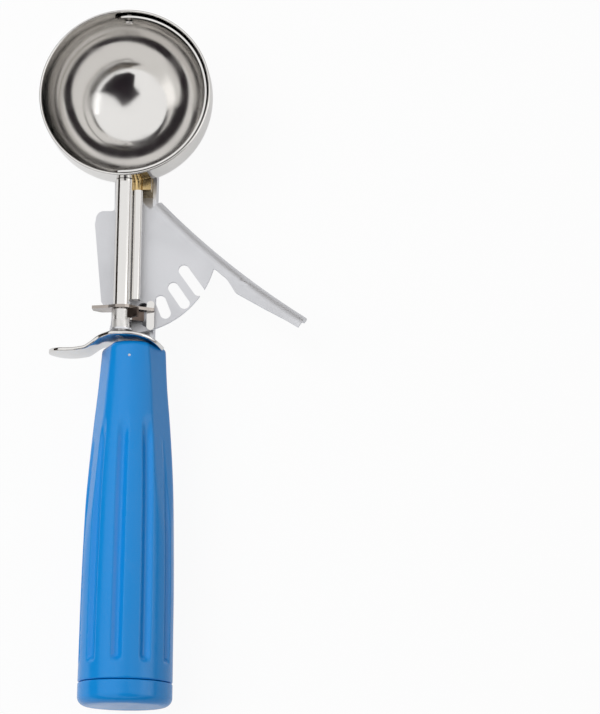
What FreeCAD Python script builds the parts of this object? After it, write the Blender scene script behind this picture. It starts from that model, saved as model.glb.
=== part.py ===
import FreeCAD, Part
import Sketcher
import math
import os
import re

# Lever ice cream scoop, lying on its back with the mouth of the bowl up.
# Millimetres, +Z up, handle toward -Y, thumb lever on the +X side.
# The origin is the centre of the bowl's sphere, on the axis of the scraper.
# "Along" is a distance from the origin toward the handle, so it is -Y.

X_AXIS = FreeCAD.Vector(1, 0, 0)
Y_AXIS = FreeCAD.Vector(0, 1, 0)
Z_AXIS = FreeCAD.Vector(0, 0, 1)
UPRIGHT = FreeCAD.Rotation()
# Turns local x, y, z into X, Z and the direction of the handle
TO_HANDLE = FreeCAD.Rotation(X_AXIS, 90)

doc = FreeCAD.newDocument("lever_ice_cream_scoop")
sheet = doc.addObject("Spreadsheet::Sheet", "Sizes")

SIZES = {
    # Bowl
    "bowl_radius": 28.5,
    "bowl_wall": 0.8,
    "bowl_band": 6.5,
    "rim_ease": 0.3,
    # Scraper
    "blade_gap": 0.35,
    "blade_sheet": 0.6,
    "blade_width": 9.0,
    "tip_pin_dia": 2.4,
    "tip_head_dia": 4.4,
    "tip_head_depth": 0.8,
    "tip_inner_reach": 1.5,
    "shaft_dia": 3.5,
    "shaft_proud": 0.5,
    "running_fit": 0.05,
    # Shaft tube and rail, from the outside of the bowl
    "tube_dia": 5.7,
    "tube_length": 42.8,
    "rail_dia": 3.1,
    "rail_side": 4.45,
    "rail_drop": 0.9,
    "rail_inset": 3.5,
    "rail_short": 2.3,
    # Frame channel and the saddle in its end
    "frame_width": 14.0,
    "frame_sheet": 1.2,
    "frame_floor": 13.2,
    "frame_top": 7.4,
    "frame_lap": 5.1,
    "saddle_length": 5.6,
    "saddle_gap": 0.15,
    "saddle_lap": 1.0,
    "weld_gap": 0.02,
    # Bridge and guide
    "bridge_sheet": 1.0,
    "bridge_left": 9.6,
    "bridge_right": 10.4,
    "bridge_top": 3.4,
    "bridge_bottom": 4.6,
    "bridge_crown": 1.6,
    "bridge_corner": 2.5,
    "bridge_ear": 1.2,
    "guide_width": 2.5,
    "guide_sheet": 0.8,
    "guide_riser": 1.0,
    "guide_nose": 2.7,
    "guide_tail": 7.1,
    # Pinion
    "pinion_gap": 0.4,
    "pinion_face": 3.0,
    "pinion_room": 9.0,
    "hub_dia": 5.8,
    "hub_length": 6.2,
    "tooth_reach": 7.6,
    "tooth_root": 1.5,
    "tooth_tip": 0.9,
    "tooth_count": 3.0,
    "tooth_phase": 8.0,
    "gear_ratio": 4.0,
    "ring_dia": 7.4,
    "ring_sheet": 0.6,
    # Thumb lever
    "lever_gap": 0.6,
    "lever_mid": 6.0,
    "lever_sheet": 1.2,
    "sector_gap": 1.1,
    "sector_head_ratio": 0.5926,
    "sector_shift": 0.8,
    "slot_width": 3.6,
    "slot_inset": 5.2,
    "slot_length": 8.3,
    "slot_growth": 2.0,
    "slot_step_out": 0.3,
    "slot_first_angle": 28.0,
    "slot_pitch_angle": 15.0,
    "flange_bend": 4.2,
    "flange_depth": 11.0,
    "flange_flat": 1.6,
    "tab_end_round": 5.0,
    "pivot_dia": 3.0,
    "pivot_head_dia": 6.0,
    "pivot_head_depth": 0.8,
    "bush_dia": 4.0,
    "washer_dia": 6.4,
    "washer_sheet": 0.3,
    "seat_gap": 0.05,
    # Return spring
    "spring_wire": 0.6,
    "spring_coil": 4.9,
    "spring_wall_gap": 0.25,
    "spring_pitch": 0.85,
    "spring_turns": 4.0,
    "spring_leg": 4.6,
    "spring_turn": 30.0,
    "anchor_dia": 1.6,
    "anchor_short": 1.6,
    # Finger rest
    "rest_sheet": 1.2,
    "rest_radius": 10.6,
    "rest_side": 0.6,
    "rest_drop": 6.6,
    "tongue_left": 24.4,
    "tongue_root": 9.2,
    "tongue_depth": 5.6,
    "tongue_width": 13.0,
    "tongue_top": 0.2,
    # Handle
    "handle_side": 3.2,
    "handle_drop": 9.0,
    "handle_gap": 0.9,
    "handle_length": 119.1,
    "neck_radius": 10.5,
    "waist_radius": 12.6,
    "belly_radius": 14.8,
    "grip_radius": 15.3,
    "waist_reach": 27.0,
    "belly_reach": 70.0,
    "neck_curve": 210.0,
    "shoulder_curve": 360.0,
    "neck_flat": 0.9,
    "neck_flat_length": 38.0,
    "neck_flat_rise": 3.9,
    "neck_flat_turn": 65.0,
    "cap_length": 7.6,
    "cap_gap": 0.25,
    "cap_ease": 2.0,
    "cap_spigot_dia": 18.0,
    "cap_spigot_length": 5.0,
    "flute_count": 10.0,
    "flute_turn": 4.8,
    "flute_radius": 2.3,
    "flute_depth": 0.95,
    "flute_inset": 24.6,
    "flute_stop": 13.5,
    "flute_shoulder": 13.0,
    "tang_width": 10.0,
    "tang_sheet": 4.0,
    "tang_length": 67.6,
    "tang_fit": 0.05,
    "handle_pin_dia": 2.0,
    "handle_pin_inset": 5.6,
    "handle_pin_short": 0.5,
    # How far a cutter passes the surface that it opens
    "past": 1.0,
}

# Places that follow from the sizes: one chain from the bowl to the butt of the handle
PLACES = {
    "frame_start": "bowl_radius - frame_lap",
    "frame_side": "frame_width / 2 - frame_sheet - spring_coil / 2 - spring_wire / 2 - spring_wall_gap",
    "tube_end": "bowl_radius + tube_length",
    "rail_start": "bowl_radius + rail_inset",
    "rail_end": "tube_end - rail_short",
    "guide_front": "tube_end - guide_nose",
    "guide_back": "tube_end + guide_tail",
    "rest_front": "tube_end + pinion_room",
    "sector_radius": "(rest_front - sector_gap - bowl_radius - saddle_length / 2 - lever_gap)"
                     " / (1 + sector_head_ratio)",
    "pivot_along": "rest_front - sector_gap - sector_radius",
    "slot_circle": "sector_radius - slot_inset",
    "tongue_along": "rest_front + tongue_depth",
    "handle_start": "rest_front + rest_sheet + handle_gap",
    "handle_end": "handle_start + handle_length",
    "handle_pin_along": "handle_start + handle_pin_inset",
    "tang_end": "handle_start + tang_length",
    "flute_start": "handle_start + flute_inset",
    "flute_end": "handle_end - flute_stop",
}

CELLS = dict(SIZES, **PLACES)
for row, (alias, content) in enumerate(CELLS.items(), start=1):
    sheet.set("A%d" % row, alias)
    sheet.set("B%d" % row, "=" + content if alias in PLACES else str(content))
    sheet.setAlias("B%d" % row, alias)
doc.recompute()

ALIASES = re.compile(r"\b(" + "|".join(sorted(CELLS, key=len, reverse=True)) + r")\b")


def size(alias):
    """The number in one cell of the sheet."""
    return float(sheet.get(alias))


def bind(item, prop, text):
    """Bind a property to a formula written in the sheet's own words."""
    item.setExpression(prop, ALIASES.sub(r"Sizes.\1", text))


def put(item, x="0", y="0", z="0", turn=UPRIGHT):
    """Place an object at a point given as three formulas."""
    item.Placement = FreeCAD.Placement(FreeCAD.Vector(), turn)
    for axis, text in zip("xyz", (x, y, z)):
        bind(item, ".Placement.Base." + axis, text)
    return item


def primitive(kind, name, **sizes):
    """A Part primitive whose sizes are formulas."""
    item = doc.addObject("Part::" + kind, name)
    for prop, text in sizes.items():
        bind(item, prop, text)
    return item


def rod(name, dia, start, end, x="0", z="0"):
    """A round bar along the handle's direction, between two distances."""
    bar = primitive("Cylinder", name, Radius="(%s) / 2" % dia, Height="(%s) - (%s)" % (end, start))
    return put(bar, x, "-(%s)" % start, z, TO_HANDLE)


def post(name, dia, low, high, x="0", along="0"):
    """An upright round bar between two heights."""
    bar = primitive("Cylinder", name, Radius="(%s) / 2" % dia, Height="(%s) - (%s)" % (high, low))
    return put(bar, x, "-(%s)" % along, low)


def block(name, left, right, start, end, low, high):
    """A box between two sides, two distances along and two heights."""
    box = primitive("Box", name, Length="(%s) - (%s)" % (right, left),
                    Width="(%s) - (%s)" % (end, start), Height="(%s) - (%s)" % (high, low))
    return put(box, left, "-(%s)" % end, low)


def fuse(name, *items):
    item = doc.addObject("Part::MultiFuse", name)
    item.Shapes = list(items)
    return item


def cut(name, base, *tools):
    item = doc.addObject("Part::Cut", name)
    item.Base = base
    item.Tool = tools[0] if len(tools) == 1 else fuse(name + "_tools", *tools)
    return item


def common(name, *items):
    item = doc.addObject("Part::MultiCommon", name)
    item.Shapes = list(items)
    return item


def sketch_on(body, role, name):
    """A sketch on one of the body's own origin planes."""
    item = body.newObject("Sketcher::SketchObject", name)
    plane = [p for p in body.Origin.OriginFeatures if p.Role == role][0]
    item.AttachmentSupport = [(plane, "")]
    item.MapMode = "FlatFace"
    return item


def outline(item, corners):
    """A closed outline of straight lines whose corners are pairs of formulas."""
    count = len(corners)
    ring = [FreeCAD.Vector(math.cos(2 * math.pi * i / count), math.sin(2 * math.pi * i / count), 0)
            for i in range(count)]
    for i in range(count):
        item.addGeometry(Part.LineSegment(ring[i], ring[(i + 1) % count]), False)
    for i in range(count):
        item.addConstraint(Sketcher.Constraint("Coincident", i, 2, (i + 1) % count, 1))
    for i, (across, up) in enumerate(corners):
        number = item.addConstraint(Sketcher.Constraint("DistanceX", -1, 1, i, 1, ring[i].x))
        bind(item, "Constraints[%d]" % number, across)
        number = item.addConstraint(Sketcher.Constraint("DistanceY", -1, 1, i, 1, ring[i].y))
        bind(item, "Constraints[%d]" % number, up)
    return item


def circle_at(item, across, up, radius):
    """A circle whose centre and radius are formulas."""
    geo = item.addGeometry(Part.Circle(FreeCAD.Vector(1, 1, 0), Z_AXIS, 1), False)
    number = item.addConstraint(Sketcher.Constraint("DistanceX", -1, 1, geo, 3, 1))
    bind(item, "Constraints[%d]" % number, across)
    number = item.addConstraint(Sketcher.Constraint("DistanceY", -1, 1, geo, 3, 1))
    bind(item, "Constraints[%d]" % number, up)
    number = item.addConstraint(Sketcher.Constraint("Radius", geo, 1))
    bind(item, "Constraints[%d]" % number, radius)
    return item


def padded(body, sketch, name, length):
    """A pad along the sketch's own normal."""
    pad = body.newObject("PartDesign::Pad", name)
    pad.Profile = sketch
    bind(pad, "Length", length)
    sketch.Visibility = False
    return pad


def plain_feature(name, shape, place=None):
    item = doc.addObject("Part::Feature", name)
    item.Shape = shape
    if place:
        item.Placement = place
    return item


nodes = []


def node(item, label):
    """Name one finished sub-part and keep it for export."""
    item.Label = label
    nodes.append(item)
    return item


# Bowl: a half sphere with a short straight band up to the rim
def bowl():
    outer, inner = size("bowl_radius"), size("bowl_radius") - size("bowl_wall")
    band = size("bowl_band")
    body = doc.addObject("PartDesign::Body", "bowl_shell")
    wall = sketch_on(body, "XZ_Plane", "bowl_wall_profile")
    centre = FreeCAD.Vector()
    wall.addGeometry(Part.ArcOfCircle(Part.Circle(centre, Z_AXIS, outer), 1.5 * math.pi, 2 * math.pi), False)
    wall.addGeometry(Part.LineSegment(FreeCAD.Vector(outer, 0, 0), FreeCAD.Vector(outer, band, 0)), False)
    wall.addGeometry(Part.LineSegment(FreeCAD.Vector(outer, band, 0), FreeCAD.Vector(inner, band, 0)), False)
    wall.addGeometry(Part.LineSegment(FreeCAD.Vector(inner, band, 0), FreeCAD.Vector(inner, 0, 0)), False)
    wall.addGeometry(Part.ArcOfCircle(Part.Circle(centre, Z_AXIS, inner), 1.5 * math.pi, 2 * math.pi), False)
    wall.addGeometry(Part.LineSegment(FreeCAD.Vector(0, -inner, 0), FreeCAD.Vector(0, -outer, 0)), False)
    joins = ((0, 2, 1, 1), (1, 2, 2, 1), (2, 2, 3, 1), (3, 2, 4, 2), (4, 1, 5, 1), (5, 2, 0, 1))
    for first, end, second, start in joins:
        wall.addConstraint(Sketcher.Constraint("Coincident", first, end, second, start))
    for arc in (0, 4):
        wall.addConstraint(Sketcher.Constraint("Coincident", arc, 3, -1, 1))
        wall.addConstraint(Sketcher.Constraint("PointOnObject", arc, 1, -2))
        wall.addConstraint(Sketcher.Constraint("PointOnObject", arc, 2, -1))
    wall.addConstraint(Sketcher.Constraint("Vertical", 1))
    wall.addConstraint(Sketcher.Constraint("Vertical", 3))
    wall.addConstraint(Sketcher.Constraint("Horizontal", 2))
    for kind, geo, value, text in (("Radius", 0, outer, "bowl_radius"),
                                   ("Radius", 4, inner, "bowl_radius - bowl_wall"),
                                   ("Distance", 1, band, "bowl_band")):
        number = wall.addConstraint(Sketcher.Constraint(kind, geo, value))
        bind(wall, "Constraints[%d]" % number, text)
    turned = body.newObject("PartDesign::Revolution", "bowl_revolved")
    turned.Profile = wall
    turned.ReferenceAxis = (wall, ["V_Axis"])
    turned.Angle = 360
    body.Tip = turned
    doc.recompute()
    rim = [("Edge%d" % (i + 1)) for i, e in enumerate(turned.Shape.Edges)
           if abs(e.BoundBox.ZMin - band) < 1e-6 and abs(e.BoundBox.ZMax - band) < 1e-6]
    eased = body.newObject("PartDesign::Chamfer", "rim_eased")
    eased.Base = (turned, rim)
    bind(eased, "Size", "rim_ease")
    body.Tip = eased
    shaft_hole = rod("bowl_shaft_hole", "shaft_dia + 2 * running_fit",
                     "bowl_radius / 2", "bowl_radius + past")
    tip_hole = rod("bowl_tip_hole", "tip_pin_dia", "-bowl_radius - past", "-bowl_radius / 2")
    node(cut("bowl_drilled", body, shaft_hole, tip_hole), "bowl")


# Scraper blade: a band of a sphere that lies against the inside of the bowl
def scraper_blade():
    outer = primitive("Sphere", "blade_outer", Radius="bowl_radius - bowl_wall - blade_gap")
    inner = primitive("Sphere", "blade_inner", Radius="bowl_radius - bowl_wall - blade_gap - blade_sheet")
    shell = cut("blade_shell", outer, inner)
    band = block("blade_band", "0", "bowl_radius", "-bowl_radius", "bowl_radius",
                 "-blade_width / 2", "blade_width / 2")
    eyes = rod("blade_eyes", "blade_width", "-bowl_radius", "bowl_radius")
    strip = common("blade_strip", shell, fuse("blade_limits", band, eyes))
    shaft_eye = rod("blade_shaft_eye", "shaft_dia", "bowl_radius / 2", "bowl_radius + past")
    tip_eye = rod("blade_tip_eye", "tip_pin_dia + 2 * running_fit", "-bowl_radius - past", "-bowl_radius / 2")
    node(cut("blade_pierced", strip, shaft_eye, tip_eye), "scraper_blade")


# Tip rivet: carries the far end of the blade in the bowl
def tip_rivet():
    inside = "-(bowl_radius - bowl_wall - blade_gap - blade_sheet - tip_inner_reach)"
    outside = "-(bowl_radius + tip_head_depth)"
    shank = rod("tip_shank", "tip_pin_dia", outside, inside)
    head = rod("tip_outer_head", "tip_head_dia", outside, "-(bowl_radius + weld_gap)")
    button = rod("tip_inner_head", "tip_head_dia * 0.8", inside + " - tip_head_depth", inside)
    node(fuse("tip_riveted", shank, head, button), "tip_rivet")


# Scraper shaft: runs from the blade through the tube to the finger rest
def scraper_shaft():
    front = "bowl_radius - bowl_wall - blade_gap - blade_sheet - shaft_proud"
    bar = rod("shaft_bar", "shaft_dia", front, "rest_front + rest_sheet")
    node(bar, "scraper_shaft")


PINION_START = "tube_end + bridge_sheet + pinion_gap"
HUB_END = PINION_START + " + hub_length"


# Pinion: a hub with a few long teeth on the side that meets the sector
def pinion():
    body = doc.addObject("PartDesign::Body", "pinion_body")
    put(body, "0", "-(" + PINION_START + ")", "0", TO_HANDLE)
    hub = circle_at(sketch_on(body, "XY_Plane", "hub_circle"), "0", "0", "hub_dia / 2")
    padded(body, hub, "hub_pad", "hub_length")
    tooth = sketch_on(body, "XY_Plane", "tooth_outline")
    root, tip = "tooth_root / 2", "tooth_tip / 2"
    start, reach = "hub_dia / 4", "tooth_reach"
    angle = "(tooth_phase - 90)"
    corners = []
    for along, across in ((start, "-" + root), (reach, "-" + tip), (reach, tip), (start, root)):
        corners.append(("(%s) * cos(%s * 1 deg) - (%s) * sin(%s * 1 deg)" % (along, angle, across, angle),
                        "(%s) * sin(%s * 1 deg) + (%s) * cos(%s * 1 deg)" % (along, angle, across, angle)))
    outline(tooth, corners)
    first = padded(body, tooth, "tooth_pad", "pinion_face")
    ring = body.newObject("PartDesign::PolarPattern", "teeth")
    ring.Originals = [first]
    ring.Axis = (hub, ["N_Axis"])
    bind(ring, "Angle", "slot_pitch_angle * gear_ratio * (tooth_count - 1)")
    bind(ring, "Occurrences", "tooth_count")
    body.Tip = ring
    doc.recompute()
    bore = rod("pinion_bore", "shaft_dia", PINION_START + " - past", HUB_END + " + past")
    node(cut("pinion_bored", body, bore), "pinion")


# Retaining ring behind the pinion's hub
def retaining_ring():
    start = HUB_END + " + seat_gap"
    outer = rod("ring_outer", "ring_dia", start, start + " + ring_sheet")
    inner = rod("ring_inner", "shaft_dia", start + " - past", start + " + ring_sheet + past")
    node(cut("ring_cut", outer, inner), "retaining_ring")


# Shaft tube: the bright front tube between bowl and bridge
def shaft_tube():
    outer = rod("tube_outer", "tube_dia", "bowl_radius + seat_gap * 2", "tube_end")
    inner = rod("tube_inner", "shaft_dia + 2 * running_fit", "bowl_radius - past", "tube_end + past")
    node(cut("tube_bored", outer, inner), "shaft_tube")


# Guide rail: a round rod brazed beside the tube, above the lever
def guide_rail():
    node(rod("rail_bar", "rail_dia", "rail_start", "rail_end", "rail_side", "-rail_drop"), "guide_rail")


# Shank frame: a stamped channel under the lever, from the bowl to the finger rest
def shank_frame():
    body = doc.addObject("PartDesign::Body", "frame_body")
    put(body, "frame_side", "-frame_start", "0", TO_HANDLE)
    half, inner = "frame_width / 2", "(frame_width / 2 - frame_sheet)"
    section = sketch_on(body, "XY_Plane", "channel_section")
    outline(section, [("-" + half, "-frame_floor"), (half, "-frame_floor"), (half, "-frame_top"),
                      (inner, "-frame_top"), (inner, "-frame_floor + frame_sheet"),
                      ("-" + inner, "-frame_floor + frame_sheet"), ("-" + inner, "-frame_top"),
                      ("-" + half, "-frame_top")])
    pad = padded(body, section, "channel_pad", "rest_front - frame_start - seat_gap")
    body.Tip = pad
    hole = post("frame_pivot_hole", "pivot_dia", "-frame_floor - past", "-frame_top", "0", "pivot_along")
    anchor = post("frame_anchor_hole", "anchor_dia", "-frame_floor - past", "-frame_top",
                  "spring_leg", "pivot_along + spring_coil / 2")
    bowl_side = primitive("Sphere", "frame_hollow", Radius="bowl_radius + weld_gap")
    node(cut("frame_pierced", body, hole, anchor, bowl_side), "shank_frame")


# Bowl saddle: the brass-coloured block that joins bowl, tube and channel
def bowl_saddle():
    inner = "(frame_width / 2 - frame_sheet - saddle_gap)"
    body = block("saddle_block", "frame_side - " + inner, "frame_side + " + inner,
                 "bowl_radius - saddle_length / 2", "bowl_radius + saddle_length / 2",
                 "-frame_floor + frame_sheet", "-tube_dia / 2 + saddle_lap")
    bowl_side = primitive("Sphere", "saddle_hollow", Radius="bowl_radius + weld_gap")
    groove = rod("saddle_groove", "tube_dia + 2 * seat_gap", "bowl_radius / 2", "bowl_radius + saddle_length")
    rail = rod("saddle_rail_groove", "rail_dia + 2 * seat_gap", "bowl_radius / 2",
               "bowl_radius + saddle_length", "rail_side", "-rail_drop")
    node(cut("saddle_shaped", body, bowl_side, groove, rail), "bowl_saddle")


# Bridge: the upright plate at the lower end of the tube, with its leaf on the left
def bridge():
    body = doc.addObject("PartDesign::Body", "bridge_body")
    put(body, "0", "-tube_end", "0", TO_HANDLE)
    face = sketch_on(body, "XY_Plane", "bridge_outline")
    outline(face, [("-bridge_left", "-bridge_bottom + bridge_corner"),
                   ("-bridge_left + bridge_corner", "-bridge_bottom"), ("bridge_right", "-bridge_bottom"),
                   ("bridge_right", "-bridge_bottom + guide_sheet + guide_riser"),
                   ("tube_dia / 2 + bridge_corner", "0"), ("tube_dia / 2", "bridge_top - bridge_crown / 2"),
                   ("bridge_crown", "bridge_top"), ("-bridge_crown", "bridge_top"),
                   ("-tube_dia / 2 - bridge_ear", "bridge_top - bridge_ear"), ("-bridge_left", "bridge_ear")])
    pad = padded(body, face, "bridge_pad", "bridge_sheet")
    body.Tip = pad
    hole = rod("bridge_hole", "shaft_dia + 2 * running_fit",
               "tube_end - past", "tube_end + bridge_sheet + past")
    node(cut("bridge_pierced", body, hole), "bridge_plate")


# Sector guide: the strip over the sector that keeps it in mesh
def sector_guide():
    low, high = "-bridge_bottom", "-bridge_bottom + guide_sheet"
    left = "bridge_right - guide_width"
    middle = "bridge_right - guide_width / 2"
    front = block("guide_front_part", left, "bridge_right", "guide_front + guide_width / 2",
                  "tube_end - seat_gap", low, high)
    nose = post("guide_nose", "guide_width", low, high, middle, "guide_front + guide_width / 2")
    riser = block("guide_riser", left, "bridge_right", "tube_end - seat_gap - guide_sheet",
                  "tube_end - seat_gap", low, "-bridge_bottom + guide_sheet + guide_riser")
    back = block("guide_back_part", left, "bridge_right", "tube_end + bridge_sheet + seat_gap",
                 "guide_back - guide_width / 2", low, high)
    tail = post("guide_tail", "guide_width", low, high, middle, "guide_back - guide_width / 2")
    node(fuse("guide_front_fused", front, nose, riser), "sector_guide")
    node(fuse("guide_back_fused", back, tail), "sector_keeper")


LEVER_HIGH = "-lever_mid + lever_sheet / 2"

# The lever's outline is given from its pivot, in shares of the sector's radius: side, along.
# Its outer edge is an arc through these three places.
EDGE_TOP = (0.3838, -0.5286)
EDGE_MIDDLE = (1.1717, 0.1886)
EDGE_TIP = (2.0404, 0.8114)
# Sector sheet, corner by corner, with the share that rounds each corner
SHEET_OUTLINE = ((0.0875, -SIZES["sector_head_ratio"], 0.0505), (0.3199, -0.5354, 0.0337),
                 (1.5488, 0.4209, 0.0),
                 (1.5488, 1.3636, 0.0), (-0.2088, 1.3636, 0.0), (-0.1077, 0.6835, 0.0337),
                 (-0.2492, 0.6700, 0.0505), (-0.3468, -0.2525, 0.1010), (-0.3232, -0.4007, 0.0842),
                 (-0.1414, -0.4007, 0.0673), (-0.0673, -0.4882, 0.1010))
# What is trimmed from the inner side of the tab: it is narrow at the sector, steps out and tapers
TAB_TRIM = ((0.9899, 0.253, 0.0404), (1.1399, 0.3787, 0.1347), (1.2428, 0.5397, 0.0808),
            (1.5728, 0.7266, 0.303), (1.8048, 0.8497, 0.202), (2.1121, 1.034, 0.0),
            (1.9813, 1.25, 0.0), (0.799, 0.4051, 0.0))
# How far each slot leans from the radius, and how many steps of growth it has
SLOTS = ((-26.0, 2), (-12.0, 1), (-10.0, 0), (0.0, 0), (0.0, 0))


def from_pivot(side, along, level=0.0):
    """A place on the lever, from its shares of the sector's radius."""
    scale = size("sector_radius")
    return FreeCAD.Vector(side * scale, -size("pivot_along") - along * scale, level)


def rounded_wire(corners, level):
    """A closed wire through places on the lever, each corner turned with its own radius."""
    points = [from_pivot(side, along, level) for side, along, _ in corners]
    edges, ends = [], []
    for i, (_, _, share) in enumerate(corners):
        here, radius = points[i], share * size("sector_radius")
        back = (points[i - 1] - here).normalize()
        ahead = (points[(i + 1) % len(points)] - here).normalize()
        if not radius:
            ends.append((here, here, None))
            continue
        turn = math.acos(max(-1.0, min(1.0, back.dot(ahead))))
        reach = radius / math.tan(turn / 2)
        middle = (back + ahead).normalize()
        crest = here + middle * (radius / math.sin(turn / 2) - radius)
        ends.append((here + back * reach, here + ahead * reach, crest))
    for i, (start, end, crest) in enumerate(ends):
        if crest:
            edges.append(Part.Arc(start, crest, end).toShape())
        edges.append(Part.LineSegment(end, ends[(i + 1) % len(ends)][0]).toShape())
    return Part.Wire(edges)


def edge_arc():
    """Centre and radius of the lever's outer edge, seen from above."""
    places = [from_pivot(side, along) for side, along in (EDGE_TOP, EDGE_MIDDLE, EDGE_TIP)]
    circle = Part.Arc(*places).toShape().Curve
    return circle.Center, circle.Radius, places


# Thumb lever: slotted sector with a folded edge that runs out into the thumb tab
def thumb_lever():
    low = -size("lever_mid") - size("lever_sheet") / 2
    sheet_depth = size("lever_sheet")
    pivot = FreeCAD.Vector(0, -size("pivot_along"), 0)
    centre, radius, places = edge_arc()
    deep = sheet_depth + size("past")
    plate = Part.Face(rounded_wire(SHEET_OUTLINE, low)).extrude(FreeCAD.Vector(0, 0, sheet_depth))
    disc = Part.makeCylinder(size("sector_radius"), 2 * deep,
                             pivot + FreeCAD.Vector(size("sector_shift"), 0, low - size("past")))
    bend = size("flange_bend")
    beyond = Part.makeCylinder(radius + bend + sheet_depth / 2, 2 * deep,
                               centre + FreeCAD.Vector(0, 0, low - size("past")))
    plate = plate.common(disc).cut(beyond)

    # Folded edge: flat, quarter bend and skirt, turned about the edge's centre
    first = places[0] - centre
    outward = FreeCAD.Vector(first).normalize()

    def at(inward, height):
        return centre + outward * (radius + inward) + FreeCAD.Vector(0, 0, height)

    top = low + sheet_depth
    skirt = top - size("flange_depth")
    flat = bend + size("flange_flat") + sheet_depth
    slope = math.sqrt(0.5)
    inner_bend = bend - sheet_depth
    turn_top = top - bend
    edges = [
        Part.LineSegment(at(flat, low), at(flat, top)),
        Part.LineSegment(at(flat, top), at(bend, top)),
        Part.Arc(at(bend, top), at(bend * (1 - slope), turn_top + bend * slope), at(0, turn_top)),
        Part.LineSegment(at(0, turn_top), at(0, skirt)),
        Part.LineSegment(at(0, skirt), at(sheet_depth, skirt)),
        Part.LineSegment(at(sheet_depth, skirt), at(sheet_depth, turn_top)),
        Part.Arc(at(sheet_depth, turn_top),
                 at(bend - inner_bend * slope, turn_top + inner_bend * slope), at(bend, low)),
        Part.LineSegment(at(bend, low), at(flat, low)),
    ]
    section = Part.Face(Part.Wire([e.toShape() for e in edges]))
    last = places[2] - centre
    sweep = math.degrees(first.getAngle(last))
    if first.cross(last).z < 0:
        sweep = -sweep
    flange = section.revolve(centre, Z_AXIS, sweep)
    trim = Part.Face(rounded_wire(TAB_TRIM, low - size("past"))).extrude(FreeCAD.Vector(0, 0, 2 * deep))
    flange = flange.cut(trim)

    # Round the end of the tab and the top of the skirt
    tip_out = FreeCAD.Vector(last).normalize()
    along_edge = Z_AXIS.cross(tip_out) * math.copysign(1, sweep)
    turn = FreeCAD.Rotation(along_edge, Z_AXIS.cross(along_edge), Z_AXIS, "XYZ")
    reach = 3 * size("sector_radius")
    width = size("flange_depth") + sheet_depth
    keep = Part.makeBox(reach, reach, width, FreeCAD.Vector(-reach, -reach / 2, skirt))
    ends = [e for e in keep.Edges if abs(e.BoundBox.XMin) < 1e-6 and abs(e.BoundBox.XMax) < 1e-6
            and e.BoundBox.YLength > sheet_depth and e.BoundBox.ZMin < top - sheet_depth]
    keep = keep.makeFillet(size("tab_end_round"), ends)
    keep.Placement = FreeCAD.Placement(places[2] - along_edge * size("lever_sheet") / 2, turn)
    flange = flange.common(keep)

    lever = plate.fuse(flange)
    for number, (lean, growth) in enumerate(SLOTS):
        angle = -size("slot_first_angle") - number * size("slot_pitch_angle")
        heading = math.radians(angle)
        reach_out = size("slot_circle") + growth * size("slot_step_out")
        middle = pivot + FreeCAD.Vector(math.cos(heading), math.sin(heading), 0) * reach_out
        long_way = size("slot_length") + growth * size("slot_growth") - size("slot_width")
        half = size("slot_width") / 2
        slot = Part.makeBox(long_way, 2 * half, 2 * deep, FreeCAD.Vector(-long_way / 2, -half, -deep))
        for side in (-1, 1):
            end = FreeCAD.Vector(side * long_way / 2, 0, -deep)
            slot = slot.fuse(Part.makeCylinder(half, 2 * deep, end))
        slot.Placement = FreeCAD.Placement(middle + FreeCAD.Vector(0, 0, low),
                                           FreeCAD.Rotation(Z_AXIS, angle + lean))
        lever = lever.cut(slot)
    eye = Part.makeCylinder(size("bush_dia") / 2, 2 * deep, pivot + FreeCAD.Vector(0, 0, low - deep))
    lever = lever.cut(eye).removeSplitter()
    node(plain_feature("lever_formed", lever), "thumb_lever")


# Lever bush: brass, fixed in the lever and turning on the pivot rivet
def lever_bush():
    low = "-frame_floor + frame_sheet + seat_gap"
    outer = post("bush_outer", "bush_dia", low, LEVER_HIGH, "0", "pivot_along")
    inner = post("bush_inner", "pivot_dia + 2 * running_fit", low + " - past", LEVER_HIGH + " + past",
                 "0", "pivot_along")
    node(cut("bush_bored", outer, inner), "lever_bush")


# Pivot rivet and its washer
def lever_pivot():
    washer_low = LEVER_HIGH + " + seat_gap"
    washer_high = washer_low + " + washer_sheet"
    washer = post("washer_outer", "washer_dia", washer_low, washer_high, "0", "pivot_along")
    hole = post("washer_inner", "pivot_dia", washer_low + " - past", washer_high + " + past",
                "0", "pivot_along")
    node(cut("washer_cut", washer, hole), "pivot_washer")
    head_low = washer_high + " + seat_gap"
    shank = post("pivot_shank", "pivot_dia", "-frame_floor - pivot_head_depth", head_low,
                 "0", "pivot_along")
    head = post("pivot_head", "pivot_head_dia", head_low, head_low + " + pivot_head_depth",
                "0", "pivot_along")
    foot = post("pivot_foot", "pivot_head_dia", "-frame_floor - pivot_head_depth", "-frame_floor",
                "0", "pivot_along")
    node(fuse("pivot_riveted", shank, head, foot), "lever_pivot")


# Return spring: a small torsion coil round the bush, with a straight leg at each end.
# Each turn is a level half and a climbing half, so the wire is all true arcs.
# The wire is drawn with a few flats in place of a round section, to keep its mesh light.
WIRE_FLATS = 8


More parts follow.
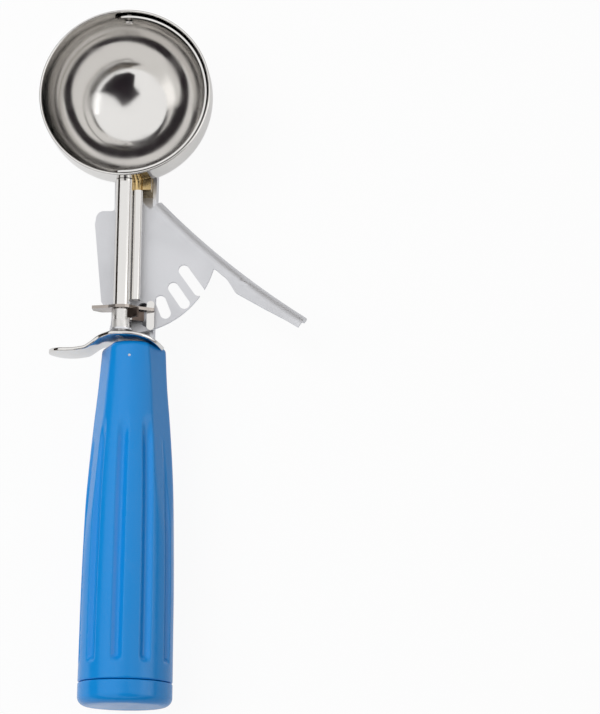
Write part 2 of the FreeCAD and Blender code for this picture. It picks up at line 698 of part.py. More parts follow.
def return_spring():
    pitch, turns = size("spring_pitch"), int(size("spring_turns"))
    coil, wire, leg = size("spring_coil") / 2, size("spring_wire") / 2, size("spring_leg")
    floor = -size("frame_floor") + size("frame_sheet")
    path = [Part.LineSegment(FreeCAD.Vector(coil, -leg, 0), FreeCAD.Vector(coil, 0, 0))]
    for turn in range(turns):
        level = turn * pitch
        right = FreeCAD.Vector(coil, 0, level)
        left = FreeCAD.Vector(-coil, 0, level)
        above = FreeCAD.Vector(coil, 0, level + pitch)
        climb = (above - left).Length / 2
        path.append(Part.Arc(right, FreeCAD.Vector(0, coil, level), left))
        path.append(Part.Arc(left, (left + above) / 2 - Y_AXIS * climb, above))
    top = turns * pitch
    path.append(Part.LineSegment(FreeCAD.Vector(coil, 0, top), FreeCAD.Vector(coil, leg, top)))
    spine = Part.Wire([p.toShape() for p in path])
    corners = [2 * math.pi * i / WIRE_FLATS for i in range(WIRE_FLATS + 1)]
    ring = Part.makePolygon([FreeCAD.Vector(coil + wire * math.cos(a), -leg, wire * math.sin(a))
                             for a in corners])
    spring = spine.makePipeShell([ring], True, True)
    spot = FreeCAD.Vector(0, -size("pivot_along"), floor + wire + size("saddle_gap"))
    place = FreeCAD.Placement(spot, FreeCAD.Rotation(Z_AXIS, -size("spring_turn")))
    node(plain_feature("spring_wound", spring, place), "return_spring")


# Spring anchor: a peg in the channel floor that the fixed leg bears on
def spring_anchor():
    node(post("anchor_peg", "anchor_dia", "-frame_floor", "-frame_top - anchor_short",
              "spring_leg", "pivot_along + spring_coil / 2"), "spring_anchor")


# Finger rest: polished plate across the top of the handle, with a bent tongue on the left
def finger_rest():
    body = doc.addObject("PartDesign::Body", "rest_body")
    put(body, "0", "-rest_front", "0", TO_HANDLE)
    disc = circle_at(sketch_on(body, "XY_Plane", "rest_disc"), "rest_side", "-rest_drop", "rest_radius")
    pad = padded(body, disc, "rest_pad", "rest_sheet")
    body.Tip = pad
    top, low = "tongue_top", "tongue_top - tongue_width"
    web = block("tongue_web", "-tongue_root - rest_sheet", "-tongue_root", "rest_front",
                "tongue_along", low, top)
    join = block("tongue_join", "-tongue_root - rest_sheet", "rest_side - rest_radius / 2", "rest_front",
                 "rest_front + rest_sheet", low, top)
    blade = block("tongue_blade", "-tongue_left + tongue_width / 2", "-tongue_root",
                  "tongue_along - rest_sheet", "tongue_along", low, top)
    end = rod("tongue_end", "tongue_width", "tongue_along - rest_sheet", "tongue_along",
              "-tongue_left + tongue_width / 2", "tongue_top - tongue_width / 2")
    plate = fuse("rest_fused", body, web, join, blade, end)
    hole = rod("rest_hole", "shaft_dia + 2 * running_fit",
               "rest_front - past", "rest_front + rest_sheet + past")
    node(cut("rest_pierced", plate, hole), "finger_rest")


# Handle tang: flat bar welded to the finger rest, inside the grip
def handle_tang():
    bar = block("tang_bar", "handle_side - tang_width / 2", "handle_side + tang_width / 2",
                "rest_front + rest_sheet", "tang_end",
                "-handle_drop - tang_sheet / 2", "-handle_drop + tang_sheet / 2")
    hole = post("tang_pin_hole", "handle_pin_dia", "-handle_drop - tang_sheet",
                "-handle_drop + tang_sheet", "handle_side", "handle_pin_along")
    node(cut("tang_drilled", bar, hole), "handle_tang")


def bowed(start, end, radius):
    """An arc between two places of a sketch; a radius above 0 bows it to the left of its way."""
    chord = end - start
    sag = abs(radius) - math.sqrt(radius ** 2 - (chord.Length / 2) ** 2)
    side = FreeCAD.Vector(-chord.y, chord.x, 0).normalize() * math.copysign(sag, radius)
    arc = Part.Arc(start, (start + end) / 2 + side, end).toShape()
    curve = Part.Circle(arc.Curve.Center, Z_AXIS, arc.Curve.Radius)
    angles = [math.atan2(p.y - curve.Center.y, p.x - curve.Center.x) for p in (start, end)]
    if radius > 0:
        angles.reverse()
    return Part.ArcOfCircle(curve, angles[0], angles[1])


# Handle grip: a profile of two long curves turned round its axis, with flutes round the thick part
def handle_grip():
    body = doc.addObject("PartDesign::Body", "grip_body")
    put(body, "handle_side", "-handle_start", "-handle_drop", TO_HANDLE)
    end = "handle_end - cap_length - cap_gap"
    corners = (("0", "0"), ("neck_radius", "0"), ("waist_radius", "waist_reach"),
               ("belly_radius", "belly_reach"), ("grip_radius", "(%s) - handle_start" % end),
               ("0", "(%s) - handle_start" % end))
    profile = sketch_on(body, "XZ_Plane", "grip_profile")
    radii = [size("neck_radius"), size("waist_radius"), size("belly_radius"), size("grip_radius")]
    reach = size("handle_end") - size("cap_length") - size("cap_gap") - size("handle_start")
    heights = [0.0, size("waist_reach"), size("belly_reach"), reach]
    points = [FreeCAD.Vector()]
    points += [FreeCAD.Vector(radius, height, 0) for radius, height in zip(radii, heights)]
    points.append(FreeCAD.Vector(0, reach, 0))
    curves = {1: size("neck_curve"), 2: -size("shoulder_curve")}
    for i, here in enumerate(points):
        ahead = points[(i + 1) % len(points)]
        if i in curves:
            profile.addGeometry(bowed(here, ahead, curves[i]), False)
        else:
            profile.addGeometry(Part.LineSegment(here, ahead), False)
    # An arc that bows inward runs from its second end to its first
    starts = [(i, 2 if i == 1 else 1) for i in range(len(points))]
    ends = [(i, 1 if i == 1 else 2) for i in range(len(points))]
    for i in range(len(points)):
        later = starts[(i + 1) % len(points)]
        profile.addConstraint(Sketcher.Constraint("Coincident", ends[i][0], ends[i][1], later[0], later[1]))
    for (geo, end_number), (across, up), here in zip(starts, corners, points):
        number = profile.addConstraint(Sketcher.Constraint("DistanceX", -1, 1, geo, end_number, here.x))
        bind(profile, "Constraints[%d]" % number, across)
        number = profile.addConstraint(Sketcher.Constraint("DistanceY", -1, 1, geo, end_number, here.y))
        bind(profile, "Constraints[%d]" % number, up)
    for geo, alias in ((1, "neck_curve"), (2, "shoulder_curve")):
        number = profile.addConstraint(Sketcher.Constraint("Radius", geo, size(alias)))
        bind(profile, "Constraints[%d]" % number, alias)
    turned = body.newObject("PartDesign::Revolution", "grip_turned")
    turned.Profile = profile
    turned.ReferenceAxis = (profile, ["V_Axis"])
    turned.Angle = 360
    profile.Visibility = False
    doc.recompute()

    # One flute: a round cutter laid along the taper from the shoulder to the butt
    top = size("flute_shoulder") + size("flute_radius") - size("flute_depth")
    foot = size("grip_radius") + size("flute_radius") - size("flute_depth")
    run = size("flute_end") - size("flute_start")
    groove = body.newObject("PartDesign::SubtractiveCylinder", "flute")
    bind(groove, "Radius", "flute_radius")
    groove.Height = math.hypot(run, foot - top)
    laid = FreeCAD.Placement(FreeCAD.Vector(0, top, size("flute_start") - size("handle_start")),
                             FreeCAD.Rotation(Z_AXIS, FreeCAD.Vector(0, foot - top, run)))
    groove.Placement = FreeCAD.Placement(FreeCAD.Vector(), FreeCAD.Rotation(Z_AXIS, size("flute_turn"))) * laid
    doc.recompute()
    ring = body.newObject("PartDesign::PolarPattern", "flutes")
    ring.Originals = [groove]
    ring.Axis = (profile, ["V_Axis"])
    ring.Angle = 360
    bind(ring, "Occurrences", "flute_count")
    body.Tip = ring
    doc.recompute()

    # Pocket for the tang, hole for the pin, socket for the cap and two flats on the neck
    pocket = block("grip_pocket", "handle_side - tang_width / 2 - tang_fit",
                   "handle_side + tang_width / 2 + tang_fit", "handle_start - past", "tang_end + tang_fit",
                   "-handle_drop - tang_sheet / 2 - tang_fit", "-handle_drop + tang_sheet / 2 + tang_fit")
    hole = post("grip_pin_hole", "handle_pin_dia", "-handle_drop - grip_radius",
                "-handle_drop + grip_radius", "handle_side", "handle_pin_along")
    socket = rod("grip_socket", "cap_spigot_dia + 2 * tang_fit", end + " - cap_spigot_length - tang_fit",
                 "handle_end", "handle_side", "-handle_drop")
    flats = []
    half, begin = size("grip_radius"), size("neck_radius") - size("neck_flat")
    rise = math.atan(size("neck_flat_rise") / size("neck_flat_length"))
    neck_end = FreeCAD.Vector(size("handle_side"), -size("handle_start"), -size("handle_drop"))
    for side in (-1, 1):
        heading = math.radians(side * size("neck_flat_turn"))
        out = FreeCAD.Vector(math.sin(heading), 0, math.cos(heading))
        down = out * math.sin(rise) - Y_AXIS * math.cos(rise)
        away = out * math.cos(rise) + Y_AXIS * math.sin(rise)
        flat = primitive("Box", "neck_flat_" + ("left" if side < 0 else "right"), Length="2 * grip_radius",
                         Width="neck_flat_length + 2 * past", Height="grip_radius")
        across = down.cross(away)
        corner = neck_end + out * begin - across * half - down * size("past")
        flat.Placement = FreeCAD.Placement(corner, FreeCAD.Rotation(across, down, away, "XYZ"))
        flats.append(flat)
    node(cut("grip_finished", body, pocket, hole, socket, *flats), "handle_grip")


# End cap: closes the grip with an eased butt
def handle_cap():
    body = doc.addObject("PartDesign::Body", "cap_body")
    put(body, "handle_side", "-handle_end", "-handle_drop", FreeCAD.Rotation(X_AXIS, -90))
    disc = circle_at(sketch_on(body, "XY_Plane", "cap_disc"), "0", "0", "grip_radius")
    pad = padded(body, disc, "cap_pad", "cap_length")
    doc.recompute()
    rim = [("Edge%d" % (i + 1)) for i, e in enumerate(pad.Shape.Edges)
           if abs(e.BoundBox.ZMin) < 1e-6 and abs(e.BoundBox.ZMax) < 1e-6]
    butt = body.newObject("PartDesign::Chamfer", "cap_butt")
    butt.Base = (pad, rim)
    bind(butt, "Size", "cap_ease")
    body.Tip = butt
    spigot = rod("cap_spigot", "cap_spigot_dia", "handle_end - cap_length - cap_gap - cap_spigot_length",
                 "handle_end - cap_length / 2", "handle_side", "-handle_drop")
    node(fuse("cap_finished", body, spigot), "handle_end_cap")


# Handle pin: holds grip and tang together, its end just shows at the neck
def handle_pin():
    bar = post("pin_bar", "handle_pin_dia", "-handle_drop - neck_radius + handle_pin_short",
               "-handle_drop + neck_radius + handle_pin_short", "handle_side", "handle_pin_along")
    node(bar, "handle_pin")


bowl()
scraper_blade()
tip_rivet()
scraper_shaft()
pinion()
retaining_ring()
shaft_tube()
guide_rail()
shank_frame()
bowl_saddle()
bridge()
sector_guide()
thumb_lever()
lever_bush()
lever_pivot()
return_spring()
spring_anchor()
finger_rest()
handle_tang()
handle_grip()
handle_cap()
handle_pin()
doc.recompute()

for item in doc.Objects:
    if "Invalid" in item.State or "Error" in item.State:
        raise RuntimeError("%s did not build: %s" % (item.Name, item.State))
for item in nodes:
    shape = item.Shape
    if shape.isNull() or not shape.isValid() or not shape.Solids:
        raise RuntimeError("%s has no sound shape" % item.Label)

os.makedirs("parts", exist_ok=True)
for item in nodes:
    item.Shape.exportStep(os.path.join("parts", item.Label + ".step"))
    box = item.Shape.BoundBox
    print("%-18s solids %d volume %9.2f  X %7.2f %7.2f  Y %8.2f %8.2f  Z %7.2f %7.2f" % (
        item.Label, len(item.Shape.Solids), item.Shape.Volume,
        box.XMin, box.XMax, box.YMin, box.YMax, box.ZMin, box.ZMax))
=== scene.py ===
import math

import bmesh
import bpy
import numpy as np
from mathutils import Matrix, Vector


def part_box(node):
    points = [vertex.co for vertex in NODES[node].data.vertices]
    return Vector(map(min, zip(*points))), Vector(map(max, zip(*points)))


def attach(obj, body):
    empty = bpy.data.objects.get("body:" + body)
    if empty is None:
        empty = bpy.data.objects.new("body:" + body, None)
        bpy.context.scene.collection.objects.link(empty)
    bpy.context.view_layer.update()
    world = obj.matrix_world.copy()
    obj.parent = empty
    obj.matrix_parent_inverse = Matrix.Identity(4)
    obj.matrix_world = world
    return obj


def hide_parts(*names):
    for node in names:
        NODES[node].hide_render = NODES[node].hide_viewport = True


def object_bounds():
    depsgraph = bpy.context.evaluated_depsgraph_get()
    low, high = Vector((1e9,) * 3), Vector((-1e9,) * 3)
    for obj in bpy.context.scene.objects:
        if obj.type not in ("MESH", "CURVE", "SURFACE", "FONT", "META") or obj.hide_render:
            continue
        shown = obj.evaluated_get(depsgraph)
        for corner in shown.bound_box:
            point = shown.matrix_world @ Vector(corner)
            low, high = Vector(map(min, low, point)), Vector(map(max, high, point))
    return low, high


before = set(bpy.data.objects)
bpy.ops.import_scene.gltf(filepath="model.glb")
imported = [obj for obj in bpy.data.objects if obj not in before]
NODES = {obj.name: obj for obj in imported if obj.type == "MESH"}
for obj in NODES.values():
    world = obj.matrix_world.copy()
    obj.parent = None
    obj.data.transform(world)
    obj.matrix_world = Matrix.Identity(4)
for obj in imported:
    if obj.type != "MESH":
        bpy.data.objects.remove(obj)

# Lever ice cream scoop: finishes, turned and swept pieces, and the studio round it.
# Metres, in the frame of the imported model: mouth of the bowl up (+Z), handle toward -Y.

bl_info = {
    "name": "Lever ice cream scoop",
    "version": (1, 0, 0),
    "blender": (4, 5, 0),
    "location": "View3D > Sidebar > Scoop",
    "description": "Dresses the packed scoop with its finishes and fine pieces",
    "category": "Object",
}

MM = 0.001
CAD_BOX = [list(corner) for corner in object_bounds()]
GRIP_LOW, GRIP_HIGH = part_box("handle_grip")
CAP_LOW, CAP_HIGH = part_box("handle_end_cap")
BOWL_LOW, BOWL_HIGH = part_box("bowl")
GRIP_AXIS_X = (GRIP_LOW.x + GRIP_HIGH.x) / 2
GRIP_AXIS_Z = (CAP_LOW.z + CAP_HIGH.z) / 2


class ScoopFinishes(bpy.types.PropertyGroup):
    """Colours of the metals and the plastic"""
    grip_colour: bpy.props.FloatVectorProperty(
        name="Grip colour", description="Moulded plastic of grip and cap",
        subtype="COLOR", size=3, min=0, max=1, default=(0.003, 0.292, 0.800))
    steel_colour: bpy.props.FloatVectorProperty(
        name="Polished steel", description="Bowl, tube, blade and finger rest",
        subtype="COLOR", size=3, min=0, max=1, default=(0.77, 0.755, 0.735))
    satin_colour: bpy.props.FloatVectorProperty(
        name="Satin steel", description="Lever and frame",
        subtype="COLOR", size=3, min=0, max=1, default=(0.735, 0.74, 0.765))
    brass_colour: bpy.props.FloatVectorProperty(
        name="Brass", description="Saddle and bush",
        subtype="COLOR", size=3, min=0, max=1, default=(0.68, 0.50, 0.24))
    # Teeth of the pinion: a dark colour that paints the shade between the bridge plate and the lever's
    # sector
    teeth_shade_colour: bpy.props.FloatVectorProperty(
        name="Pinion steel, painted shade", description="Teeth of the pinion",
        subtype="COLOR", size=3, min=0, max=1, default=(0.085, 0.065, 0.055))
    stained_colour: bpy.props.FloatVectorProperty(
        name="Stained steel", description="Bridge plate and its leaf",
        subtype="COLOR", size=3, min=0, max=1, default=(0.40, 0.36, 0.33))
    spring_colour: bpy.props.FloatVectorProperty(
        name="Spring wire", description="Tempered wire of the return spring",
        subtype="COLOR", size=3, min=0, max=1, default=(0.42, 0.42, 0.44))


class ScoopGrip(bpy.types.PropertyGroup):
    """Shape of the moulded grip"""
    neck_radius: bpy.props.FloatProperty(
        name="Neck radius", description="Radius at the finger rest",
        unit="LENGTH", default=10.5 * MM)
    waist_radius: bpy.props.FloatProperty(
        name="Waist radius", description="Radius where the neck ends",
        unit="LENGTH", default=12.6 * MM)
    belly_radius: bpy.props.FloatProperty(
        name="Belly radius", description="Radius where the thick part levels out",
        unit="LENGTH", default=14.8 * MM)
    butt_radius: bpy.props.FloatProperty(
        name="Butt radius", description="Radius at the end cap",
        unit="LENGTH", default=15.3 * MM)
    flute_count: bpy.props.IntProperty(
        name="Flutes", description="Number of flutes round the grip", default=10, min=3)
    flute_turn: bpy.props.FloatProperty(
        name="Flute turn", description="Turn of the first flute from the top",
        subtype="ANGLE", default=math.radians(-4.8))
    flute_depth: bpy.props.FloatProperty(
        name="Flute depth", description="Depth of a flute", unit="LENGTH", default=1.3 * MM)
    flute_half_width: bpy.props.FloatProperty(
        name="Flute half width", description="From the middle of a flute to its lip",
        unit="LENGTH", default=2.15 * MM)
    nose_length: bpy.props.FloatProperty(
        name="Nose length", description="Length of the rounded end at the finger rest",
        unit="LENGTH", default=2.4 * MM)
    flat_turn: bpy.props.FloatProperty(
        name="Neck flat turn", description="Turn of each neck flat from the top",
        subtype="ANGLE", default=math.radians(65.0))


class ScoopStage(bpy.types.PropertyGroup):
    """Lens and light"""
    lens: bpy.props.FloatProperty(
        name="Lens", description="Focal length for a 36 mm long side", default=150.91)
    world_level: bpy.props.FloatProperty(
        name="World level", description="Strength of the light from all round", default=0.35)
    lamp_power: bpy.props.FloatProperty(
        name="Key power", description="Watts of the soft lamp over the object", default=7.0)


# Formulas for shapes

def grid_faces(rows, columns):
    """Quads of a grid whose columns close into a ring."""
    row = np.arange(rows - 1)[:, None] * columns
    here = np.arange(columns)[None, :]
    after = (here + 1) % columns
    quads = np.stack([row + here, row + after, row + columns + after, row + columns + here], -1)
    return quads.reshape(-1, 4)


def smooth_step(value, start, end):
    """0 before start, 1 after end, and 3t^2 - 2t^3 between them."""
    t = np.clip((value - start) / (end - start), 0.0, 1.0)
    return t * t * (3.0 - 2.0 * t)


def soft_min(first, second, width):
    """The lesser of two arrays, blended by a parabola where they are closer than width."""
    gap = np.clip(1.0 - np.abs(first - second) / width, 0.0, 1.0)
    return np.minimum(first, second) - gap * gap * width / 4.0


def eased_curve(stations, radii, at):
    """Cubic through the stations, with a slope at each that is a weighted mean of those beside it."""
    stations, radii = np.asarray(stations, float), np.asarray(radii, float)
    slopes = np.gradient(radii, stations)
    cell = np.clip(np.searchsorted(stations, at) - 1, 0, len(stations) - 2)
    width = stations[cell + 1] - stations[cell]
    t = (at - stations[cell]) / width
    return ((2 * t ** 3 - 3 * t ** 2 + 1) * radii[cell] + (t ** 3 - 2 * t ** 2 + t) * width * slopes[cell]
            + (3 * t ** 2 - 2 * t ** 3) * radii[cell + 1] + (t ** 3 - t ** 2) * width * slopes[cell + 1])


def turned(profile, columns):
    """Rows of (radius, height) carried round the Z axis: x = r cos a, y = r sin a, z = height."""
    angle = np.linspace(0.0, 2 * np.pi, columns, endpoint=False)
    radius, height = profile[:, 0][:, None], profile[:, 1][:, None]
    return np.stack([radius * np.cos(angle), radius * np.sin(angle),
                     np.broadcast_to(height, (len(profile), columns))], -1)


def arc_points(centre, radius, start, end, count):
    """Points of an arc in a profile: centre + radius (cos a, sin a), angles in degrees."""
    angle = np.radians(np.linspace(start, end, count))
    return np.stack([centre[0] + radius * np.cos(angle), centre[1] + radius * np.sin(angle)], -1)


def make_piece(name, surface, material, body, nodes=()):
    """A mesh of a grid of points closed round its columns, riding on a body of the frame."""
    rows, columns = surface.shape[:2]
    mesh = bpy.data.meshes.new(name)
    mesh.from_pydata(surface.reshape(-1, 3), [], grid_faces(rows, columns).tolist())
    sheet = bmesh.new()
    sheet.from_mesh(mesh)
    bmesh.ops.remove_doubles(sheet, verts=sheet.verts, dist=1e-7)
    bmesh.ops.recalc_face_normals(sheet, faces=sheet.faces)
    sheet.to_mesh(mesh)
    sheet.free()
    mesh.shade_smooth()
    mesh.materials.append(material)
    piece = bpy.data.objects.new(name, mesh)
    bpy.context.scene.collection.objects.link(piece)
    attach(piece, body)
    if nodes:
        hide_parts(*nodes)
    return piece


# Shader groups

# Sockets of a Mix node that blends colours
MIX_FIRST, MIX_SECOND, MIX_RESULT = 6, 7, 2


def new_group(name, inputs, outputs):
    """An empty shader group with float or vector inputs and named outputs."""
    group = bpy.data.node_groups.new(name, "ShaderNodeTree")
    for label, kind, default in inputs:
        socket = group.interface.new_socket(name=label, in_out="INPUT", socket_type=kind)
        if default is not None:
            socket.default_value = default
    for label, kind in outputs:
        group.interface.new_socket(name=label, in_out="OUTPUT", socket_type=kind)
    return group, group.nodes.new("NodeGroupInput"), group.nodes.new("NodeGroupOutput")


def drawn_lines_group():
    """Fine lines or grain that a belt or a die leaves: noise, stretched by the vector that feeds it."""
    group, inside, outside = new_group(
        "drawn_lines",
        [("Vector", "NodeSocketVector", None), ("Fineness", "NodeSocketFloat", 900.0),
         ("Depth", "NodeSocketFloat", 0.5)],
        [("Height", "NodeSocketFloat")])
    noise = group.nodes.new("ShaderNodeTexNoise")
    noise.inputs["Detail"].default_value = 3.0
    group.links.new(inside.outputs["Vector"], noise.inputs["Vector"])
    group.links.new(inside.outputs["Fineness"], noise.inputs["Scale"])
    height = group.nodes.new("ShaderNodeMath")
    height.operation = "MULTIPLY"
    group.links.new(noise.outputs["Fac"], height.inputs[0])
    group.links.new(inside.outputs["Depth"], height.inputs[1])
    group.links.new(height.outputs[0], outside.inputs["Height"])
    return group


def handling_group():
    """Soft smudges left by hands and washing: roughness from Low to High, as a broad noise goes."""
    group, inside, outside = new_group(
        "handling",
        [("Vector", "NodeSocketVector", None), ("Size", "NodeSocketFloat", 60.0),
         ("Low", "NodeSocketFloat", 0.05), ("High", "NodeSocketFloat", 0.15)],
        [("Roughness", "NodeSocketFloat")])
    broad = group.nodes.new("ShaderNodeTexNoise")
    broad.inputs["Detail"].default_value = 4.0
    broad.inputs["Distortion"].default_value = 0.6
    group.links.new(inside.outputs["Vector"], broad.inputs["Vector"])
    group.links.new(inside.outputs["Size"], broad.inputs["Scale"])
    ramp = group.nodes.new("ShaderNodeMapRange")
    ramp.interpolation_type = "SMOOTHSTEP"
    ramp.inputs["From Min"].default_value = 0.38
    ramp.inputs["From Max"].default_value = 0.68
    group.links.new(broad.outputs["Fac"], ramp.inputs["Value"])
    spread = group.nodes.new("ShaderNodeMapRange")
    group.links.new(ramp.outputs["Result"], spread.inputs["Value"])
    group.links.new(inside.outputs["Low"], spread.inputs["To Min"])
    group.links.new(inside.outputs["High"], spread.inputs["To Max"])
    group.links.new(spread.outputs["Result"], outside.inputs["Roughness"])
    return group


def tone_group():
    """A colour that drifts between two tones as a broad noise does."""
    group, inside, outside = new_group(
        "tone_drift",
        [("Vector", "NodeSocketVector", None), ("Size", "NodeSocketFloat", 30.0),
         ("Dark", "NodeSocketColor", (0.5, 0.5, 0.5, 1)), ("Light", "NodeSocketColor", (0.6, 0.6, 0.6, 1))],
        [("Color", "NodeSocketColor")])
    noise = group.nodes.new("ShaderNodeTexNoise")
    noise.inputs["Detail"].default_value = 5.0
    group.links.new(inside.outputs["Vector"], noise.inputs["Vector"])
    group.links.new(inside.outputs["Size"], noise.inputs["Scale"])
    mix = group.nodes.new("ShaderNodeMix")
    mix.data_type = "RGBA"
    group.links.new(noise.outputs["Fac"], mix.inputs["Factor"])
    group.links.new(inside.outputs["Dark"], mix.inputs[MIX_FIRST])
    group.links.new(inside.outputs["Light"], mix.inputs[MIX_SECOND])
    group.links.new(mix.outputs[MIX_RESULT], outside.inputs["Color"])
    return group


def hub_group():
    """One colour near the shaft's axis (the Y axis) and another beyond a radius, mottled outside."""
    group, inside, outside = new_group(
        "hub",
        [("Vector", "NodeSocketVector", None), ("Radius", "NodeSocketFloat", 3.0 * MM),
         ("Inside", "NodeSocketColor", (0.7, 0.7, 0.7, 1)),
         ("Outside", "NodeSocketColor", (0.1, 0.1, 0.1, 1))],
        [("Color", "NodeSocketColor")])
    flat = group.nodes.new("ShaderNodeVectorMath")
    flat.operation = "MULTIPLY"
    flat.inputs[1].default_value = (1, 0, 1)
    group.links.new(inside.outputs["Vector"], flat.inputs[0])
    far = group.nodes.new("ShaderNodeVectorMath")
    far.operation = "LENGTH"
    group.links.new(flat.outputs["Vector"], far.inputs[0])
    share = group.nodes.new("ShaderNodeMapRange")
    share.interpolation_type = "SMOOTHSTEP"
    group.links.new(far.outputs["Value"], share.inputs["Value"])
    group.links.new(inside.outputs["Radius"], share.inputs["From Min"])
    edge = group.nodes.new("ShaderNodeMath")
    edge.operation = "ADD"
    edge.inputs[1].default_value = 0.5 * MM
    group.links.new(inside.outputs["Radius"], edge.inputs[0])
    group.links.new(edge.outputs[0], share.inputs["From Max"])
    mottle = group.nodes.new("ShaderNodeTexNoise")
    mottle.inputs["Scale"].default_value = 400.0
    group.links.new(inside.outputs["Vector"], mottle.inputs["Vector"])
    lift = group.nodes.new("ShaderNodeVectorMath")
    lift.operation = "MULTIPLY_ADD"
    group.links.new(inside.outputs["Outside"], lift.inputs[0])
    group.links.new(mottle.outputs["Fac"], lift.inputs[1])
    group.links.new(inside.outputs["Outside"], lift.inputs[2])
    mix = group.nodes.new("ShaderNodeMix")
    mix.data_type = "RGBA"
    group.links.new(share.outputs["Result"], mix.inputs["Factor"])
    group.links.new(inside.outputs["Inside"], mix.inputs[MIX_FIRST])
    group.links.new(lift.outputs["Vector"], mix.inputs[MIX_SECOND])
    group.links.new(mix.outputs[MIX_RESULT], outside.inputs["Color"])
    return group


def dimple_group():
    """A small round boss at one place: height falls from 1 at its middle to 0 at its reach."""
    group, inside, outside = new_group(
        "dimple",
        [("Vector", "NodeSocketVector", None), ("Middle", "NodeSocketVector", (0, 0, 0)),
         ("Reach", "NodeSocketFloat", 1.6 * MM)],
        [("Height", "NodeSocketFloat")])
    away = group.nodes.new("ShaderNodeVectorMath")
    away.operation = "DISTANCE"
    group.links.new(inside.outputs["Vector"], away.inputs[0])
    group.links.new(inside.outputs["Middle"], away.inputs[1])
    share = group.nodes.new("ShaderNodeMapRange")
    share.interpolation_type = "SMOOTHERSTEP"
    share.inputs["To Min"].default_value = 1.0
    share.inputs["To Max"].default_value = 0.0
    group.links.new(away.outputs["Value"], share.inputs["Value"])
    group.links.new(inside.outputs["Reach"], share.inputs["From Max"])
    group.links.new(share.outputs["Result"], outside.inputs["Height"])
    return group


def shade(colour, factor):
    """A colour made darker or lighter, as RGBA."""
    return tuple(min(1.0, channel * factor) for channel in colour) + (1.0,)


class Finish:
    """A material in the making: its Principled shader and the groups placed round it."""

    def __init__(self, name, stretch=None):
        self.material = bpy.data.materials.new(name)
        self.material.use_nodes = True
        self.nodes = self.material.node_tree.nodes
        self.links = self.material.node_tree.links
        self.shader = self.nodes["Principled BSDF"]
        place = self.nodes.new("ShaderNodeTexCoord")
        self.plain = place.outputs["Object"]
        if stretch is not None:
            mapping = self.nodes.new("ShaderNodeMapping")
            mapping.inputs["Scale"].default_value = stretch
            self.links.new(self.plain, mapping.inputs["Vector"])
            self.along = mapping.outputs["Vector"]

    def set(self, **values):
        """Constants, each on the shader's own socket."""
        for label, value in values.items():
            self.shader.inputs[label.replace("_", " ")].default_value = value

    def group(self, tree, vector, **values):
        """Place a shared group with its own values."""
        placed = self.nodes.new("ShaderNodeGroup")
        placed.node_tree = tree
        self.links.new(vector, placed.inputs["Vector"])
        for label, value in values.items():
            placed.inputs[label].default_value = value
        return placed

    def feed(self, output, label):
        """Join an output to one of the shader's sockets."""
        self.links.new(output, self.shader.inputs[label])

    def tint(self, vector, colour, size, darker, lighter):
        """Base colour that drifts between a darker and a lighter share of one colour."""
        drift = self.group(GROUPS["tone"], vector, Size=size,
                           Dark=shade(colour, darker), Light=shade(colour, lighter))
        self.feed(drift.outputs["Color"], "Base Color")

    def wear(self, size, least, greatest):
        """Roughness that rises where hands and washing have been."""
        handled = self.group(GROUPS["handling"], self.plain, Size=size, Low=least, High=greatest)
        self.feed(handled.outputs["Roughness"], "Roughness")

    def bump(self, output, strength, distance):
        """Relief from a height, through a Bump node."""
        node = self.nodes.new("ShaderNodeBump")
        node.inputs["Strength"].default_value = strength
        node.inputs["Distance"].default_value = distance
        self.links.new(output, node.inputs["Height"])
        if self.shader.inputs["Normal"].links:
            self.links.new(self.shader.inputs["Normal"].links[0].from_socket, node.inputs["Normal"])
        self.feed(node.outputs["Normal"], "Normal")


GROUPS = {}
FINISHES = {}

# Metals: colour, fineness of its drift, darker and lighter share, fineness of wear, least and most rough
METALS = {
    "polished_steel": ("steel_colour", 25.0, 0.96, 1.03, 70.0, 0.09, 0.17),
    "satin_steel": ("satin_colour", 45.0, 0.93, 1.06, 55.0, 0.30, 0.42),
    "satin_lever": ("satin_colour", 45.0, 0.93, 1.06, 55.0, 0.44, 0.54),
    "spring_steel": ("spring_colour", 200.0, 0.8, 1.2, 150.0, 0.22, 0.4),
    "brass": ("brass_colour", 160.0, 0.75, 1.15, 220.0, 0.2, 0.42),
    "stained_steel": ("stained_colour", 230.0, 0.7, 1.35, 120.0, 0.14, 0.3),
}
# Metals with lines from a belt, which lie close together across X and are long in Y and Z
BELTED = ("satin_steel", "satin_lever")
BELT_STRETCH = (1.0, 0.06, 0.06)
# The plastic's drift of tone is longer along the grip
MOULD_STRETCH = (1.0, 0.35, 1.0)
# Dimple on the thumb tab, and the bright hub inside the pinion's teeth, which are painted dark as shade
# between the plates
DIMPLE_MIDDLE = (39.57 * MM, -61.83 * MM, -5.83 * MM)
DIMPLE_REACH = 2.3 * MM
HUB_RADIUS = 3.2 * MM


